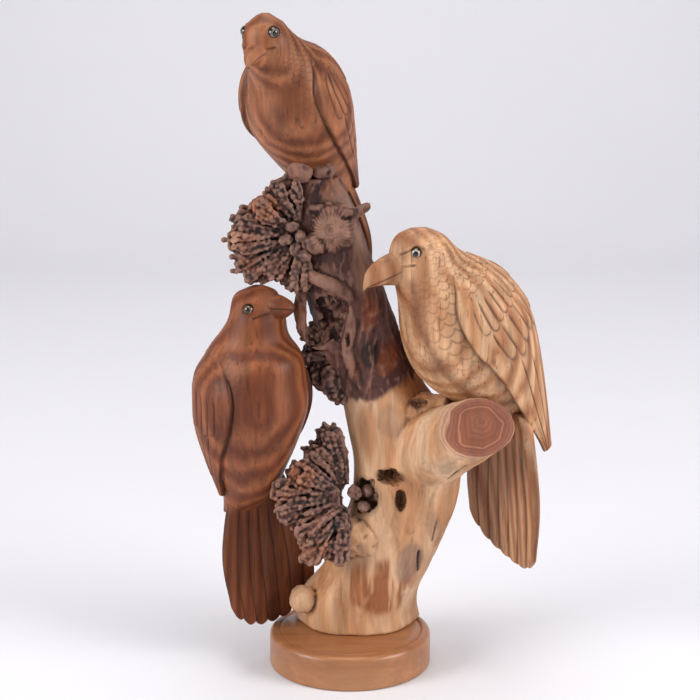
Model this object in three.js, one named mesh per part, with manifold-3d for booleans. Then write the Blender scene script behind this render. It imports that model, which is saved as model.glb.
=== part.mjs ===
// Three carved wooden birds perched on a piece of parasite wood, which is a trunk with
// wood-rose growths, standing on a round plinth. Millimetres, +Z up. The front faces -Y,
// and the origin is the middle of the plinth's underside.
import * as THREE from "three";
import Module from "manifold-3d";
import { mergeVertices } from "three/addons/utils/BufferGeometryUtils.js";

const { clamp, degToRad, smoothstep, lerp } = THREE.MathUtils;
const wasm = await Module();
wasm.setup();

const CLEARANCE = 0.45;

const PLINTH = { radius: 62.5, height: 27, rim: 4.5, groove: 0.9, grooveAt: 55, sides: 28 };

// The trunk from its foot to its top. Each row: x, y, z, half width, half depth.
const TRUNK = [
  [6, 18, 27.35, 47.5, 36],
  [4.5, 18, 40, 46.5, 35],
  [9.5, 15, 56, 44, 34],
  [21, 12, 76, 41, 32],
  [29, 9, 100, 42, 31],
  [40, 6, 130, 40.5, 31],
  [43, 4, 160, 40, 31],
  [38, 5, 190, 40, 30],
  [26, 7, 217, 33, 29],
  [12, 8, 245, 31, 28],
  [2, 8, 275, 30, 27],
  [-7, 8, 305, 28.5, 26],
  [-15, 8, 335, 26, 25],
  [-22, 8, 362, 23, 23],
  [-25, 8, 380, 17, 18],
];

// The sawn-off branch runs from start to end, and its cut face looks along normal.
const STUB = {
  start: [45, 4, 163],
  end: [93, -46, 202],
  normal: [0.3, -0.9, 0.3],
  startSize: [36, 34],
  endSize: [30, 22.5],
};

// The saddle of wood under the right-hand bird.
const SADDLE = { start: [52, 4, 182], end: [100, -8, 196], startSize: [24, 26], endSize: [17, 19] };

// Petals of the wood-rose growths. Each row: tip x, y, z, half width, half thickness.
const UPPER_GROWTH = {
  core: [-50, -7, 341, 27, 11, 29],
  root: [-34, -5, 338],
  petals: [
    [-54, -15, 380, 16, 13],
    [-72, -18, 367, 11, 10],
    [-88, -15, 356, 11, 8],
    [-94, -18, 336, 13, 9],
    [-88, -12, 315, 10, 7],
    [-79, -14, 305, 10, 7],
    [-60, -12, 305, 13, 9],
    [-39, -15, 297, 15, 12],
  ],
};
const SIDE_GROWTH = {
  core: [-15, 2, 238, 17, 14, 27],
  root: [2, 4, 246],
  petals: [
    [-35, 2, 267, 10, 9],
    [-37, 6, 243, 15, 13],
    [-30, 4, 220, 14, 12],
    [-12, -3, 207, 12, 11],
  ],
};
const LOWER_GROWTH = {
  core: [-27, -18, 136, 27, 13, 40],
  root: [0, -13, 138],
  petals: [
    [-19, -15, 198, 14, 9],
    [-34, -20, 181, 13, 9],
    [-48, -28, 166, 13, 10],
    [-64, -28, 149, 14, 9],
    [-60, -30, 131, 14, 10],
    [-43, -37, 110, 15, 11],
    [-35, -37, 90, 13, 10],
    [-12, -32, 88, 12, 9],
  ],
};
// Round burls, knobs and a flap. Each row: x, y, z and the half sizes along x, y and z.
const BURLS = [
  [-12, -14, 346, 17, 13, 18],
  [-26, -17, 335, 9, 8, 8],
  [-37, -11, 387, 8.5, 8, 8],
  [-19, -4, 387, 9, 8, 7],
  [8, -8, 357, 6, 5, 5],
  [-37, -2, 51, 10, 9, 11],
  [6, -13, 106, 21, 14, 15],
];

// Hollows cut into the wood. Each row: x, y, z and the half sizes along x, y and z.
const HOLLOWS = [
  [-15, -18, 276, 14, 17, 24],
  [13, -22, 255, 6, 9, 12],
  [9, -17, 139, 13, 14, 15],
  [30, -30, 159, 11, 14, 6],
  [38, -28, 139, 4, 9, 8],
  [50, -33, 215, 8.5, 13, 4.8],
];

// The birds. `at` is where a bird's own axis stands, and `turn` is how far it faces round to the
// viewer's right, in degrees. A body row is forward and z of the breast, forward and z of the
// back, and the half width, from the rump to the crown. A beak row is how far it reaches from the
// middle of the head, z of its top, of the mouth and of its underside, and its half width. An
// edge row is where the wing's front edge lies: along the body, and degrees round from the breast.
// A tail's `round` shortens its outer feathers and `slant` lengthens those on the bird's left.
const LEFT_BIRD = {
  name: "left_bird",
  at: [-74, -8],
  turn: 36,
  body: [
    [-9, 122, -28, 122, 14],
    [9, 135, -29, 136, 17],
    [21, 149, -33, 149, 22],
    [27, 162, -38, 163, 27.5],
    [33, 174, -42, 176, 32],
    [40, 190, -46, 192, 36.8],
    [47, 211, -45, 213, 39.8],
    [46, 231, -43, 234, 39.1],
    [44, 249, -34, 252, 33.5],
    [31, 264, -21, 266, 26.3],
    [28, 280, -13, 278, 22.8],
    [26, 291, -10, 294, 16.8],
    [24, 299.5, -2, 299.5, 8],
    [16, 302.5, 5, 302.5, 3],
  ],
  head: { at: [6, 280], turn: 22 },
  beak: [
    [12, 298, 287, 276, 10],
    [20, 297.5, 288, 278, 9],
    [27, 295.5, 288.5, 280.5, 7],
    [32, 293, 288.5, 284, 4.5],
    [34.5, 289.5, 287.5, 286.5, 1.5],
  ],
  eye: { along: 0.816, around: 75, radius: 4.2 },
  wing: {
    edge: [[0.61, 86], [0.555, 64], [0.505, 58], [0.45, 59], [0.39, 62], [0.31, 73], [0.23, 84], [0.15, 97]],
    tip: [21.4, -10.6, 139],
  },
  tail: { root: [11, -14, 150], end: [24.5, -10, 26.5], widths: [21, 44], thick: 5, round: 0.09, slant: -0.03 },
};

const TOP_BIRD = {
  name: "top_bird",
  at: [-37, 0],
  turn: -28,
  body: [
    [-49, 352, -64, 360, 13],
    [-29, 362, -57, 384, 19.7],
    [-12, 373, -47, 412, 26.2],
    [8, 387, -35, 438, 32.5],
    [27, 405, -20, 458, 38.7],
    [39, 426, -10, 472, 35.1],
    [44, 450, 5, 481, 26.6],
    [56, 466, 21, 488, 20.9],
    [61, 480, 30, 493, 17.8],
    [61, 492, 36, 498, 13.9],
    [54, 500.5, 40, 500, 8],
    [49, 503.3, 44, 503, 2.5],
  ],
  head: { at: [39, 479], turn: -4 },
  beak: [
    [10, 488, 477, 464, 10],
    [18, 485, 476, 465, 9],
    [23, 482, 474.5, 467, 7.5],
    [27, 478, 472, 468, 5.5],
    [29.5, 472.5, 468.5, 467.5, 3],
    [29.8, 468.5, 466, 465.5, 1],
  ],
  eye: { along: 0.785, around: 59, radius: 4.2 },
  wing: {
    edge: [[0.565, 93], [0.53, 77], [0.49, 63], [0.43, 59], [0.35, 60], [0.28, 66], [0.22, 76], [0.155, 90]],
    tip: [18, -56, 366],
  },
  tail: { root: [0, -50, 376], end: [0, -62, 286], widths: [14, 34], thick: 5, round: 0.05, slant: 0 },
};

const RIGHT_BIRD = {
  name: "right_bird",
  at: [88, -8],
  turn: -58,
  body: [
    [-39, 183, -64, 196, 16.5],
    [-21, 192, -64, 222, 26.1],
    [-3, 205, -59, 248, 34.7],
    [24, 221, -51, 274, 40.6],
    [42, 239, -38, 296, 43.8],
    [52, 262, -20, 314, 39.4],
    [56, 288, -1, 324, 31.5],
    [62, 307, 12, 331, 21.6],
    [66, 323, 18, 336, 19.3],
    [66, 336, 23, 341, 14.6],
    [61, 344.5, 29, 345, 9],
    [52, 348.5, 38, 348.5, 3],
  ],
  head: { at: [38, 321], turn: -8 },
  beak: [
    [14, 338, 322, 306, 13],
    [22, 335, 320.5, 307, 11.5],
    [30, 331.5, 316.5, 308, 9],
    [38, 328, 313, 308.3, 7],
    [44, 324, 310.5, 307.8, 5.2],
    [48.5, 318.5, 308.5, 307.2, 3.5],
    [50.5, 311, 305.3, 305, 1],
  ],
  eye: { along: 0.777, around: 63, radius: 4 },
  wing: {
    edge: [[0.6, 95], [0.55, 80], [0.5, 69], [0.44, 66], [0.37, 67], [0.28, 72], [0.205, 70], [0.13, 76]],
    tip: [27, -58, 168],
  },
  tail: { root: [8, -34, 204], end: [0.5, -40, 81.5], widths: [24, 47], thick: 6, round: 0.05, slant: 0.085 },
};

const FEATHERS = 7;
const WING_TRAIL = 165;

const BIRD_WOOD = { color: 0xa66a3c, roughness: 0.5, metalness: 0 };
const PALE_BIRD_WOOD = { color: 0xc08a52, roughness: 0.5, metalness: 0 };
const TRUNK_WOOD = { color: 0xb08458, roughness: 0.7, metalness: 0 };
const PLINTH_WOOD = { color: 0xb06f42, roughness: 0.45, metalness: 0 };
const EYE_GLASS = { color: 0x17120f, roughness: 0.08, metalness: 0 };

const vector = (p) => new THREE.Vector3(...p);

// The smooth curve through rows of numbers, at t from 0 to 1.
function curve(rows, t) {
  const last = rows.length - 1;
  const i = Math.min(Math.floor(t * last), last - 1);
  const u = t * last - i;
  const row = (n) => rows[clamp(n, 0, last)];
  return rows[0].map((_, k) => {
    const [a, b, c, d] = [row(i - 1)[k], row(i)[k], row(i + 1)[k], row(i + 2)[k]];
    return b + 0.5 * u * (c - a + u * (2 * a - 5 * b + 4 * c - d + u * (3 * (b - c) + d - a)));
  });
}

// A closed skin: a sphere's rows become rings from t = 0 to t = 1, closed by a point at each end.
function skin(along, around, place) {
  const geometry = new THREE.SphereGeometry(1, around, along);
  const position = geometry.getAttribute("position");
  for (let j = 0; j <= along; j++) {
    const t = clamp((j - 1) / (along - 2), 0, 1);
    const ring = Array.from({ length: around }, (_, i) => place(t, (2 * Math.PI * i) / around));
    const middle = new THREE.Vector3();
    ring.forEach((p) => middle.addScaledVector(p, 1 / around));
    const atEnd = j === 0 || j === along;
    for (let i = 0; i <= around; i++) {
      const p = atEnd ? middle : ring[i % around];
      position.setXYZ(j * (around + 1) + i, p.x, p.y, p.z);
    }
  }
  return solidOf(geometry);
}

// A closed slab: a box's vertices move to where place(u, v, side) puts them, with u and v from
// 0 to 1 over its broad faces and side 1 on the outer one, -1 on the inner one.
function slab(acrossU, acrossV, place) {
  const geometry = new THREE.BoxGeometry(1, 1, 2, acrossU, acrossV, 1);
  const position = geometry.getAttribute("position");
  for (let i = 0; i < position.count; i++) {
    const side = Math.sign(position.getZ(i));
    const p = place(position.getX(i) + 0.5, position.getY(i) + 0.5, side);
    position.setXYZ(i, p.x, p.y, p.z);
  }
  return solidOf(geometry);
}

// A geometry as a solid that can be joined and cut, with its faces pointing out.
function solidOf(geometry) {
  const bare = new THREE.BufferGeometry();
  bare.setAttribute("position", geometry.getAttribute("position"));
  bare.setIndex(geometry.index);
  const merged = mergeVertices(bare, 1e-3);
  const vertProperties = merged.getAttribute("position").array;
  const triVerts = new Uint32Array(merged.index.array);
  const make = () => new wasm.Manifold(new wasm.Mesh({ numProp: 3, vertProperties, triVerts }));
  const made = make();
  if (made.volume() > 0) return made;
  for (let i = 0; i < triVerts.length; i += 3) {
    [triVerts[i + 1], triVerts[i + 2]] = [triVerts[i + 2], triVerts[i + 1]];
  }
  return make();
}

const joined = (solids) => solids.reduce((a, b) => a.add(b));

// The largest piece of a solid, without any crumbs that a cut left beside it.
function largest(solid) {
  return solid.decompose().reduce((a, b) => (b.volume() > a.volume() ? b : a));
}

function meshOf(name, solid, finish) {
  const { numProp, numVert, vertProperties, triVerts } = solid.getMesh();
  const points = new Float32Array(numVert * 3);
  for (let i = 0; i < numVert; i++) {
    points.set(vertProperties.subarray(i * numProp, i * numProp + 3), i * 3);
  }
  const geometry = new THREE.BufferGeometry();
  geometry.setAttribute("position", new THREE.BufferAttribute(points, 3));
  geometry.setIndex(new THREE.BufferAttribute(triVerts, 1));
  geometry.computeVertexNormals();
  const mesh = new THREE.Mesh(geometry, new THREE.MeshStandardMaterial(finish));
  mesh.name = name;
  return mesh;
}

// PLINTH: a turned disc with a rounded rim and a shallow ring near its edge.
function plinth() {
  const { radius, height, rim, groove, grooveAt, sides } = PLINTH;
  const profile = [new THREE.Vector2(0, 0), new THREE.Vector2(radius - 2, 0)];
  profile.push(new THREE.Vector2(radius, 2));
  for (let i = 0; i <= 3; i++) {
    const a = (Math.PI / 2) * (i / 3);
    profile.push(
      new THREE.Vector2(radius - rim * (1 - Math.cos(a)), height - rim * (1 - Math.sin(a))),
    );
  }
  profile.push(new THREE.Vector2(grooveAt + 1, height));
  profile.push(new THREE.Vector2(grooveAt, height - groove));
  profile.push(new THREE.Vector2(grooveAt - 1, height));
  profile.push(new THREE.Vector2(0, height));
  const lathe = new THREE.LatheGeometry(profile, sides);
  lathe.rotateX(Math.PI / 2);
  return solidOf(lathe);
}

// TRUNK: irregular rings, fluted a little more towards the foot.
function trunkStem(grow = 0) {
  return skin(17, 15, (t, angle) => {
    const [x, y, z, halfWidth, halfDepth] = curve(TRUNK, t);
    const flute = 1 + 0.045 * Math.sin(3 * angle + 5 * t) + 0.03 * Math.sin(5 * angle - 7 * t);
    return new THREE.Vector3(
      x + (halfWidth * flute + grow) * Math.cos(angle),
      y + (halfDepth * flute + grow) * Math.sin(angle),
      z,
    );
  });
}

// A branch whose rings all face the same way, from one centre and size to another.
function branch({ start, end, normal, startSize, endSize }, along, around) {
  const facing = vector(normal ?? vector(end).sub(vector(start)).toArray()).normalize();
  const across = new THREE.Vector3(-facing.y, facing.x, 0).normalize();
  const up = facing.clone().cross(across);
  return skin(along, around, (t, angle) => {
    const centre = vector(start).lerp(vector(end), t);
    const width = lerp(startSize[0], endSize[0], t) * (1 + 0.03 * Math.sin(3 * angle + 2));
    const height = lerp(startSize[1], endSize[1], t) * (1 + 0.03 * Math.sin(2 * angle + 1));
    return centre
      .addScaledVector(across, width * Math.cos(angle))
      .addScaledVector(up, height * Math.sin(angle));
  });
}

// One petal of a growth: narrow at the root, broad, blunt and knobbly at its end.
function petal(root, [x, y, z, halfWidth, halfThick], index) {
  const to = new THREE.Vector3(x, y, z);
  const from = vector(root).lerp(to, 0.4);
  const along = to.clone().sub(from).normalize();
  const across = along.clone().cross(new THREE.Vector3(0, -1, 0)).normalize();
  const out = across.clone().cross(along);
  return skin(5, 6, (t, angle) => {
    const swell = lerp(0.7, 1, smoothstep(t, 0, 0.7));
    const close = Math.sqrt(1 - 0.75 * Math.pow(smoothstep(t, 0.65, 1.05), 2));
    const knob = 1 + 0.2 * Math.sin(2 * angle + 9 * t + 1.7 * index);
    const size = swell * close * knob;
    return from
      .clone()
      .lerp(to, t)
      .addScaledVector(across, halfWidth * size * Math.cos(angle))
      .addScaledVector(out, halfThick * size * Math.sin(angle));
  });
}

// A growth: petals round a solid core.
const growth = ({ core, root, petals }) =>
  joined([ellipsoid(...core), ...petals.map((row, i) => petal(root, row, i))]);

function ellipsoid(x, y, z, halfX, halfY, halfZ, detail = 7) {
  const ball = new THREE.SphereGeometry(1, detail, Math.round(detail * 0.7));
  ball.scale(halfX, halfY, halfZ);
  ball.translate(x, y, z);
  return solidOf(ball);
}

function trunk() {
  const wood = joined([
    trunkStem(),
    branch(STUB, 4, 15),
    branch(SADDLE, 4, 9),
    growth(UPPER_GROWTH),
    growth(SIDE_GROWTH),
    growth(LOWER_GROWTH),
    ...BURLS.map((row) => ellipsoid(...row)),
  ]);
  const hollows = joined(HOLLOWS.map((row) => ellipsoid(...row)));
  return wood.subtract(hollows);
}

// BIRDS. In a bird's own frame it faces -Y, its left is +X, and z is the height in the whole work.
// A point of the body: angle 0 is the breast, 90 the bird's left side and 180 its back.
function bodyPoint(bird, t, angle, grow = 0) {
  const [breast, breastZ, back, backZ, halfWidth] = curve(bird.body, t);
  const share = 0.5 + 0.5 * Math.cos(angle);
  const half = Math.hypot(breast - back, breastZ - backZ) / 2;
  const reach = (grow * Math.cos(angle)) / half / 2;
  const point = new THREE.Vector3(
    (halfWidth + grow) * Math.sin(angle),
    -lerp(back, breast, share + reach),
    lerp(backZ, breastZ, share + reach) + grow * (2 * t - 1),
  );
  const turned = bird.head.turn * smoothstep(t, 0.57, 0.73);
  return turnedHead(bird, point, turned);
}

// A point turned with the head, about the upright line through the middle of the head.
function turnedHead(bird, point, degrees) {
  const pivot = new THREE.Vector3(0, -bird.head.at[0], 0);
  return point.sub(pivot).applyAxisAngle(new THREE.Vector3(0, 0, 1), degToRad(degrees)).add(pivot);
}

const body = (bird, grow) => skin(16, 14, (t, angle) => bodyPoint(bird, t, angle, grow));

// A folded wing. It lies flush with the shoulder, stands proud of the body along its front edge,
// is fluted into long feathers, and narrows to a free tip. Side is 1 for the left wing.
function wing(bird, side, grow = 0) {
  const { edge, tip } = bird.wing;
  const [proud, inside] = [3.2, 5];
  return slab(5, 5, (v, t, face) => {
    const [along, lead] = curve(edge, t);
    const around = lerp(lead - 2 * grow, WING_TRAIL + 2 * grow, v);
    const onBody = bodyPoint(bird, along, side * degToRad(around));
    const core = bodyPoint(bird, along, 0).add(bodyPoint(bird, along, Math.PI)).divideScalar(2);
    const out = onBody.clone().sub(core).normalize();
    const flute = 0.6 * Math.cos(5 * Math.PI * v) * smoothstep(t, 0.35, 0.6);
    const lift = proud * smoothstep(t, 0, 0.3) * (1 - 0.75 * v) + 0.6 + flute;
    onBody.addScaledVector(out, face > 0 ? lift + grow : -inside * (1 - 0.5 * t));
    const free = new THREE.Vector3(side * (tip[0] + face * (1.6 + grow)), -tip[1], tip[2] - grow);
    free.addScaledVector(new THREE.Vector3(0, 1, 0.35), (5 + 2 * grow) * (v - 0.5));
    return onBody.lerp(free, smoothstep(t, 0.62, 1.08));
  });
}

// The tail: a slightly arched fan of feathers, parted by grooves and ending in round tips.
function tail(bird, grow = 0) {
  const { root, end, widths, thick, round, slant } = bird.tail;
  return slab(2 * FEATHERS, 4, (u, reach, face) => {
    const v = 2 * u - 1;
    const feather = Math.abs(Math.sin(Math.PI * FEATHERS * u));
    const corners = round * v * v + 0.1 * Math.pow(v, 4) - slant * v;
    const down = reach * (1 - corners - 0.03 * (1 - feather));
    const spread = Math.sin((Math.PI / 2) * Math.min(1, 1.2 * reach));
    const halfWidth = lerp(...widths, spread - 0.2 * smoothstep(reach, 0.5, 1.1));
    const ridge = (1 - 0.3 * v * v) * (0.82 + 0.18 * feather);
    const half = (thick / 2) * lerp(2.8, 1, reach) * ridge + grow;
    return new THREE.Vector3(
      lerp(root[0], end[0], down) + (halfWidth + grow) * v,
      -lerp(root[1], end[1], down) - 0.12 * halfWidth * v * v + face * half,
      lerp(root[2], end[2], down) - grow * reach,
    );
  });
}

// The beak: an upper half over a slightly narrower lower half, so that the mouth shows as a crease.
function beak(bird, grow = 0) {
  const half = (upper) =>
    skin(6, 7, (t, angle) => {
      const [reach, top, mouth, low, halfWidth] = curve(bird.beak, t);
      const [from, to] = upper ? [mouth, top] : [low, mouth + 0.4];
      const wide = halfWidth * (upper ? 1 : 0.86) + grow;
      const point = new THREE.Vector3(
        wide * Math.cos(angle),
        -(bird.head.at[0] + reach + grow * t),
        lerp(from - grow, to + grow, 0.5 + 0.5 * Math.sin(angle)),
      );
      return turnedHead(bird, point, bird.head.turn);
    });
  return half(true).add(half(false));
}

// An eye, set into the surface of the head.
function eyeBall(bird, side, grow = 0) {
  const { along, around, radius } = bird.eye;
  const surface = bodyPoint(bird, along, side * degToRad(around));
  const inner = bodyPoint(bird, along, 0).add(bodyPoint(bird, along, Math.PI)).divideScalar(2);
  const { x, y, z } = surface.addScaledVector(inner.sub(surface).normalize(), 0.5 * radius);
  const r = radius + grow;
  return ellipsoid(x, y, z, r, r, r);
}

// The whole bird without its eyes, grown by the clearance when it makes its own seat in the wood.
const bulk = (bird, grow) =>
  joined([
    body(bird, grow),
    wing(bird, 1, grow),
    wing(bird, -1, grow),
    tail(bird, grow),
    beak(bird, grow),
  ]);

function birdSolid(bird) {
  const sockets = eyeBall(bird, 1, CLEARANCE).add(eyeBall(bird, -1, CLEARANCE));
  return bulk(bird, 0).subtract(sockets);
}

const SIDES = { left: 1, right: -1 };
const carving = new THREE.Group();
carving.add(meshOf("plinth", plinth(), PLINTH_WOOD));

let wood = trunk();
for (const [bird, finish] of [
  [TOP_BIRD, BIRD_WOOD],
  [LEFT_BIRD, BIRD_WOOD],
  [RIGHT_BIRD, PALE_BIRD_WOOD],
]) {
  const perch = new THREE.Group();
  perch.position.set(bird.at[0], bird.at[1], 0);
  perch.rotation.z = degToRad(bird.turn);
  perch.add(meshOf(bird.name, birdSolid(bird), finish));
  for (const [side, sign] of Object.entries(SIDES)) {
    perch.add(meshOf(bird.name + "_" + side + "_eye", eyeBall(bird, sign), EYE_GLASS));
  }
  carving.add(perch);
  perch.updateMatrix();
  const seat = bulk(bird, CLEARANCE).transform(perch.matrix.toArray());
  wood = wood.subtract(seat);
}
carving.add(meshOf("trunk", largest(wood), TRUNK_WOOD));

export default carving;
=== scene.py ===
"""Three carved wooden birds on a piece of parasite wood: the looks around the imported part.

Sizes are in millimetres until a mesh is made, which is in metres. The front faces -Y.
"""
import math

import bpy
import numpy as np
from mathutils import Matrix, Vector
from mathutils.kdtree import KDTree


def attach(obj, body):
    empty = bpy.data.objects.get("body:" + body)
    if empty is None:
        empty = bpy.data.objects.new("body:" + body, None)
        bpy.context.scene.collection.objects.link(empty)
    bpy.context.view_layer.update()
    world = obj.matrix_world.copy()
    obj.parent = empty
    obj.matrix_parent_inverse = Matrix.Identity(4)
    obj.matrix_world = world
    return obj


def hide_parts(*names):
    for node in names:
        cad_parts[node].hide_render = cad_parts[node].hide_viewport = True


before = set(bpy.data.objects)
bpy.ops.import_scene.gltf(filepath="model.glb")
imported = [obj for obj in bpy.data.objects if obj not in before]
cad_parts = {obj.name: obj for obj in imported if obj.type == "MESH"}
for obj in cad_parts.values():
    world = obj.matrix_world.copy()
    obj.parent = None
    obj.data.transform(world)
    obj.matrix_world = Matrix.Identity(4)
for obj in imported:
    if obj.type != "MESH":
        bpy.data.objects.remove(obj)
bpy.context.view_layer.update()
MM = 0.001
rng = np.random.default_rng(7)

# ------------------------------------------------------------------ sizes of the carving

PLINTH = {"radius": 62.5, "height": 27, "rim": 4.5, "groove": 0.9, "groove_at": 55}

# The trunk from its foot to its top. Each row: x, y, z, half width, half depth.
TRUNK = [
    [6, 18, 27.35, 47.5, 36],
    [4.5, 18, 40, 46.5, 35],
    [9.5, 15, 56, 44, 34],
    [21, 12, 76, 41, 32],
    [29, 9, 100, 42, 31],
    [40, 6, 130, 40.5, 31],
    [43, 4, 160, 40, 31],
    [38, 5, 190, 40, 30],
    [26, 7, 217, 33, 29],
    [12, 8, 245, 31, 28],
    [2, 8, 275, 30, 27],
    [-7, 8, 305, 28.5, 26],
    [-15, 8, 335, 26, 25],
    [-22, 8, 362, 23, 23],
    [-25, 8, 380, 17, 18],
]
STUB = {
    "start": [45, 4, 163], "end": [93, -46, 202], "normal": [0.3, -0.9, 0.3],
    "start_size": [36, 34], "end_size": [30, 22.5],
}
SADDLE = {
    "start": [52, 4, 182], "end": [100, -8, 196], "normal": [48, -12, 14],
    "start_size": [24, 26], "end_size": [17, 19],
}

# Petals of the wood-rose growths. Each row: tip x, y, z, half width, half thickness.
UPPER_GROWTH = {
    "core": [-46, -7, 341, 24, 11, 26],
    "root": [-34, -5, 338],
    "petals": [
        [-52, -10, 385, 13, 11, 0.05],
        [-72, -18, 369, 10, 9, 0.85],
        [-87, -15, 356, 10, 7, 0.1],
        [-94, -18, 336, 11, 8, 0.25],
        [-88, -12, 313, 8, 6, 0.55],
        [-79, -14, 303, 7, 6, 0.4],
        [-60, -12, 305, 10, 8, 0.2],
        [-41, -15, 297, 13, 11, 0.1],
    ],
    "lumps": [
        [-40, -17, 330, 5, 4, 5], [-36, -18, 340, 4, 4, 4], [-43, -18, 347, 5, 4, 4],
        [-33, -19, 326, 5, 4, 5], [-47, -17, 337, 5, 4, 4],
    ],
    "sawn": [[[-84, -23, 335], [-0.35, -1, 0.1], 10]],
}
SIDE_GROWTH = {
    "core": [-15, 2, 238, 17, 12, 25],
    "root": [2, 4, 246],
    "petals": [
        [-35, 2, 267, 9, 8, 0.2],
        [-37, 4, 243, 13, 12, 0.05],
        [-30, 2, 220, 12, 11, 0.1],
        [-12, -3, 207, 10, 10, 0.1],
    ],
    "lumps": [[-14, -10, 228, 8, 5, 12]],
    "sawn": [],
}
LOWER_GROWTH = {
    "core": [-24, -18, 136, 22, 12, 36],
    "root": [0, -13, 138],
    "petals": [
        [-19, -15, 198, 11, 8, 0.05],
        [-34, -20, 181, 11, 8, 0.1],
        [-48, -28, 166, 10, 8, 0.75],
        [-64, -28, 149, 11, 8, 0.35],
        [-60, -30, 131, 11, 9, 0.1],
        [-43, -37, 110, 12, 10, 0.25],
        [-35, -37, 90, 11, 9, 0.65],
        [-12, -32, 88, 10, 8, 0.1],
    ],
    "lumps": [[3, -17, 143, 6, 5, 6], [10, -15, 131, 5, 5, 5], [14, -14, 143, 5, 4, 5], [-8, -26, 120, 8, 7, 9]],
    "sawn": [],
}
# Round burls and knobs. Each row: x, y, z and the half sizes along x, y and z.
BURLS = [
    [-12, -14, 346, 17, 13, 18],
    [-26, -17, 335, 9, 8, 8],
    [-37, -11, 387, 8.5, 8, 8],
    [-19, -4, 387, 9, 8, 7],
    [-37, -2, 51, 10, 9, 11],
    [6, -13, 106, 21, 14, 15],
    [50, -24, 215, 6, 6, 3.6],
]
BURL_DISC = [-14, -28, 346]
# Raised edges and the twig on the trunk. Each bar is rows of x, y, z and radius.
BARS = [
    [[-29, -13, 361, 2.5], [-16, -19, 359, 3.6], [-4, -20, 357.5, 3.4], [4, -15, 357, 2.5]],
    [[-2, -12, 354, 5], [5, -13, 357, 4.2], [11, -11, 360, 3.6], [14, -9, 362, 3.2]],
    [[-40, -10, 312, 3], [-27, -17, 309, 4.6], [-14, -20, 304, 4.8], [-4, -18, 298, 4.2], [1, -15, 290, 3]],
    [[1, -14, 292, 3], [1, -17, 272, 3.6], [-2, -17, 254, 3.8], [3, -16, 236, 4.2], [10, -15, 222, 3]],
    [[-34, -6, 304, 3.4], [-37, -11, 284, 4.2], [-35, -12, 268, 3.4], [-28, -12, 258, 3], [-18, -9, 255, 2.6]],
    [[22, -20, 164, 3], [27, -22, 150, 4.2], [30, -23, 132, 4.8], [33, -21, 112, 3]],
    [[40, 2, 150, 15], [58, -10, 160, 17], [76, -24, 178, 17]],
    [[30, 2, 196, 17], [52, -8, 202, 17], [74, -18, 204, 14]],
]
# Hollows cut into the wood. Each row: x, y, z and the half sizes along x, y and z.
HOLLOWS = [
    [-17, -19, 276, 13, 15, 20],
    [-25, -16, 264, 8, 12, 10],
    [-8, -20, 286, 8, 11, 8],
    [-1.5, -22, 262, 2.6, 8, 6],
    [9, -17, 139, 14, 14, 15],
    [30, -26, 158, 11, 14, 6],
    [38, -24, 139, 4.5, 9, 9],
    [50, -29, 215, 8.5, 12, 4.8],
]
# Cracks along the wood: points of the path, how wide and how deep.
CRACKS = [
    [[[74, -29, 157], [80, -37, 165], [86, -44, 172]], 1.0, 1.6],
    [[[52, -13, 94], [52, -12, 88], [53, -9, 78]], 1.0, 1.4],
    [[[68, -12, 128], [66, -12, 116], [63, -10, 102]], 0.8, 0.8],
    [[[-16, -13, 386], [-15, -14, 378], [-10, -13, 372]], 1.8, 2.4],
    [[[-22, -19, 355], [-12, -23, 354.5], [0, -19, 353]], 1.4, 1.8],
    [[[-6, -34, 114], [2, -31, 110], [8, -29, 112]], 0.9, 0.8],
    [[[28, -19, 75], [22, -21, 66], [14, -21, 60]], 0.9, 0.5],
]
# Patches of colour in the wood: kind, strength, then the middle and the half sizes.
STAINS = [
    ["dark_patch_and_shade", 0.9, [14, -15, 252, 8, 14, 12]],
    ["warm", 1.0, [11, -17, 283, 5, 12, 13]],
    ["warm", 1.0, [26, -14, 248, 7, 14, 13]],
    ["warm", 0.7, [-15, -11, 373, 8, 12, 8]],
    ["warm", 1.0, [-36, -11, 278, 6, 12, 11]],
    ["warm", 0.6, [5, -16, 238, 5, 10, 10]],
    ["warm", 0.8, [13, -20, 190, 9, 16, 22]],
    ["warm", 0.7, [36, -20, 150, 8, 16, 12]],
    ["warm", 0.5, [46, -20, 222, 16, 14, 5]],
    ["grey", 0.9, [26, -12, 270, 9, 16, 16]],
    ["grey", 0.8, [45, -12, 86, 10, 16, 16]],
    ["grey", 0.8, [66, -11, 112, 6, 18, 18]],
    ["grey", 0.5, [30, -18, 196, 8, 14, 14]],
    ["light", 1.0, [8, -10, 325, 9, 18, 30]],
    ["light", 0.8, [-8, -6, 368, 14, 16, 12]],
    ["light", 0.9, [-14, -24, 342, 15, 12, 15]],
    ["light", 0.9, [-22, -19, 307, 20, 10, 6]],
    ["light", 0.7, [-28, -12, 257, 12, 8, 5]],
    ["dashes", 1.0, [20, -16, 66, 34, 26, 22]],
    ["dashes", 0.7, [36, -20, 190, 16, 20, 20]],
]
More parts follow.
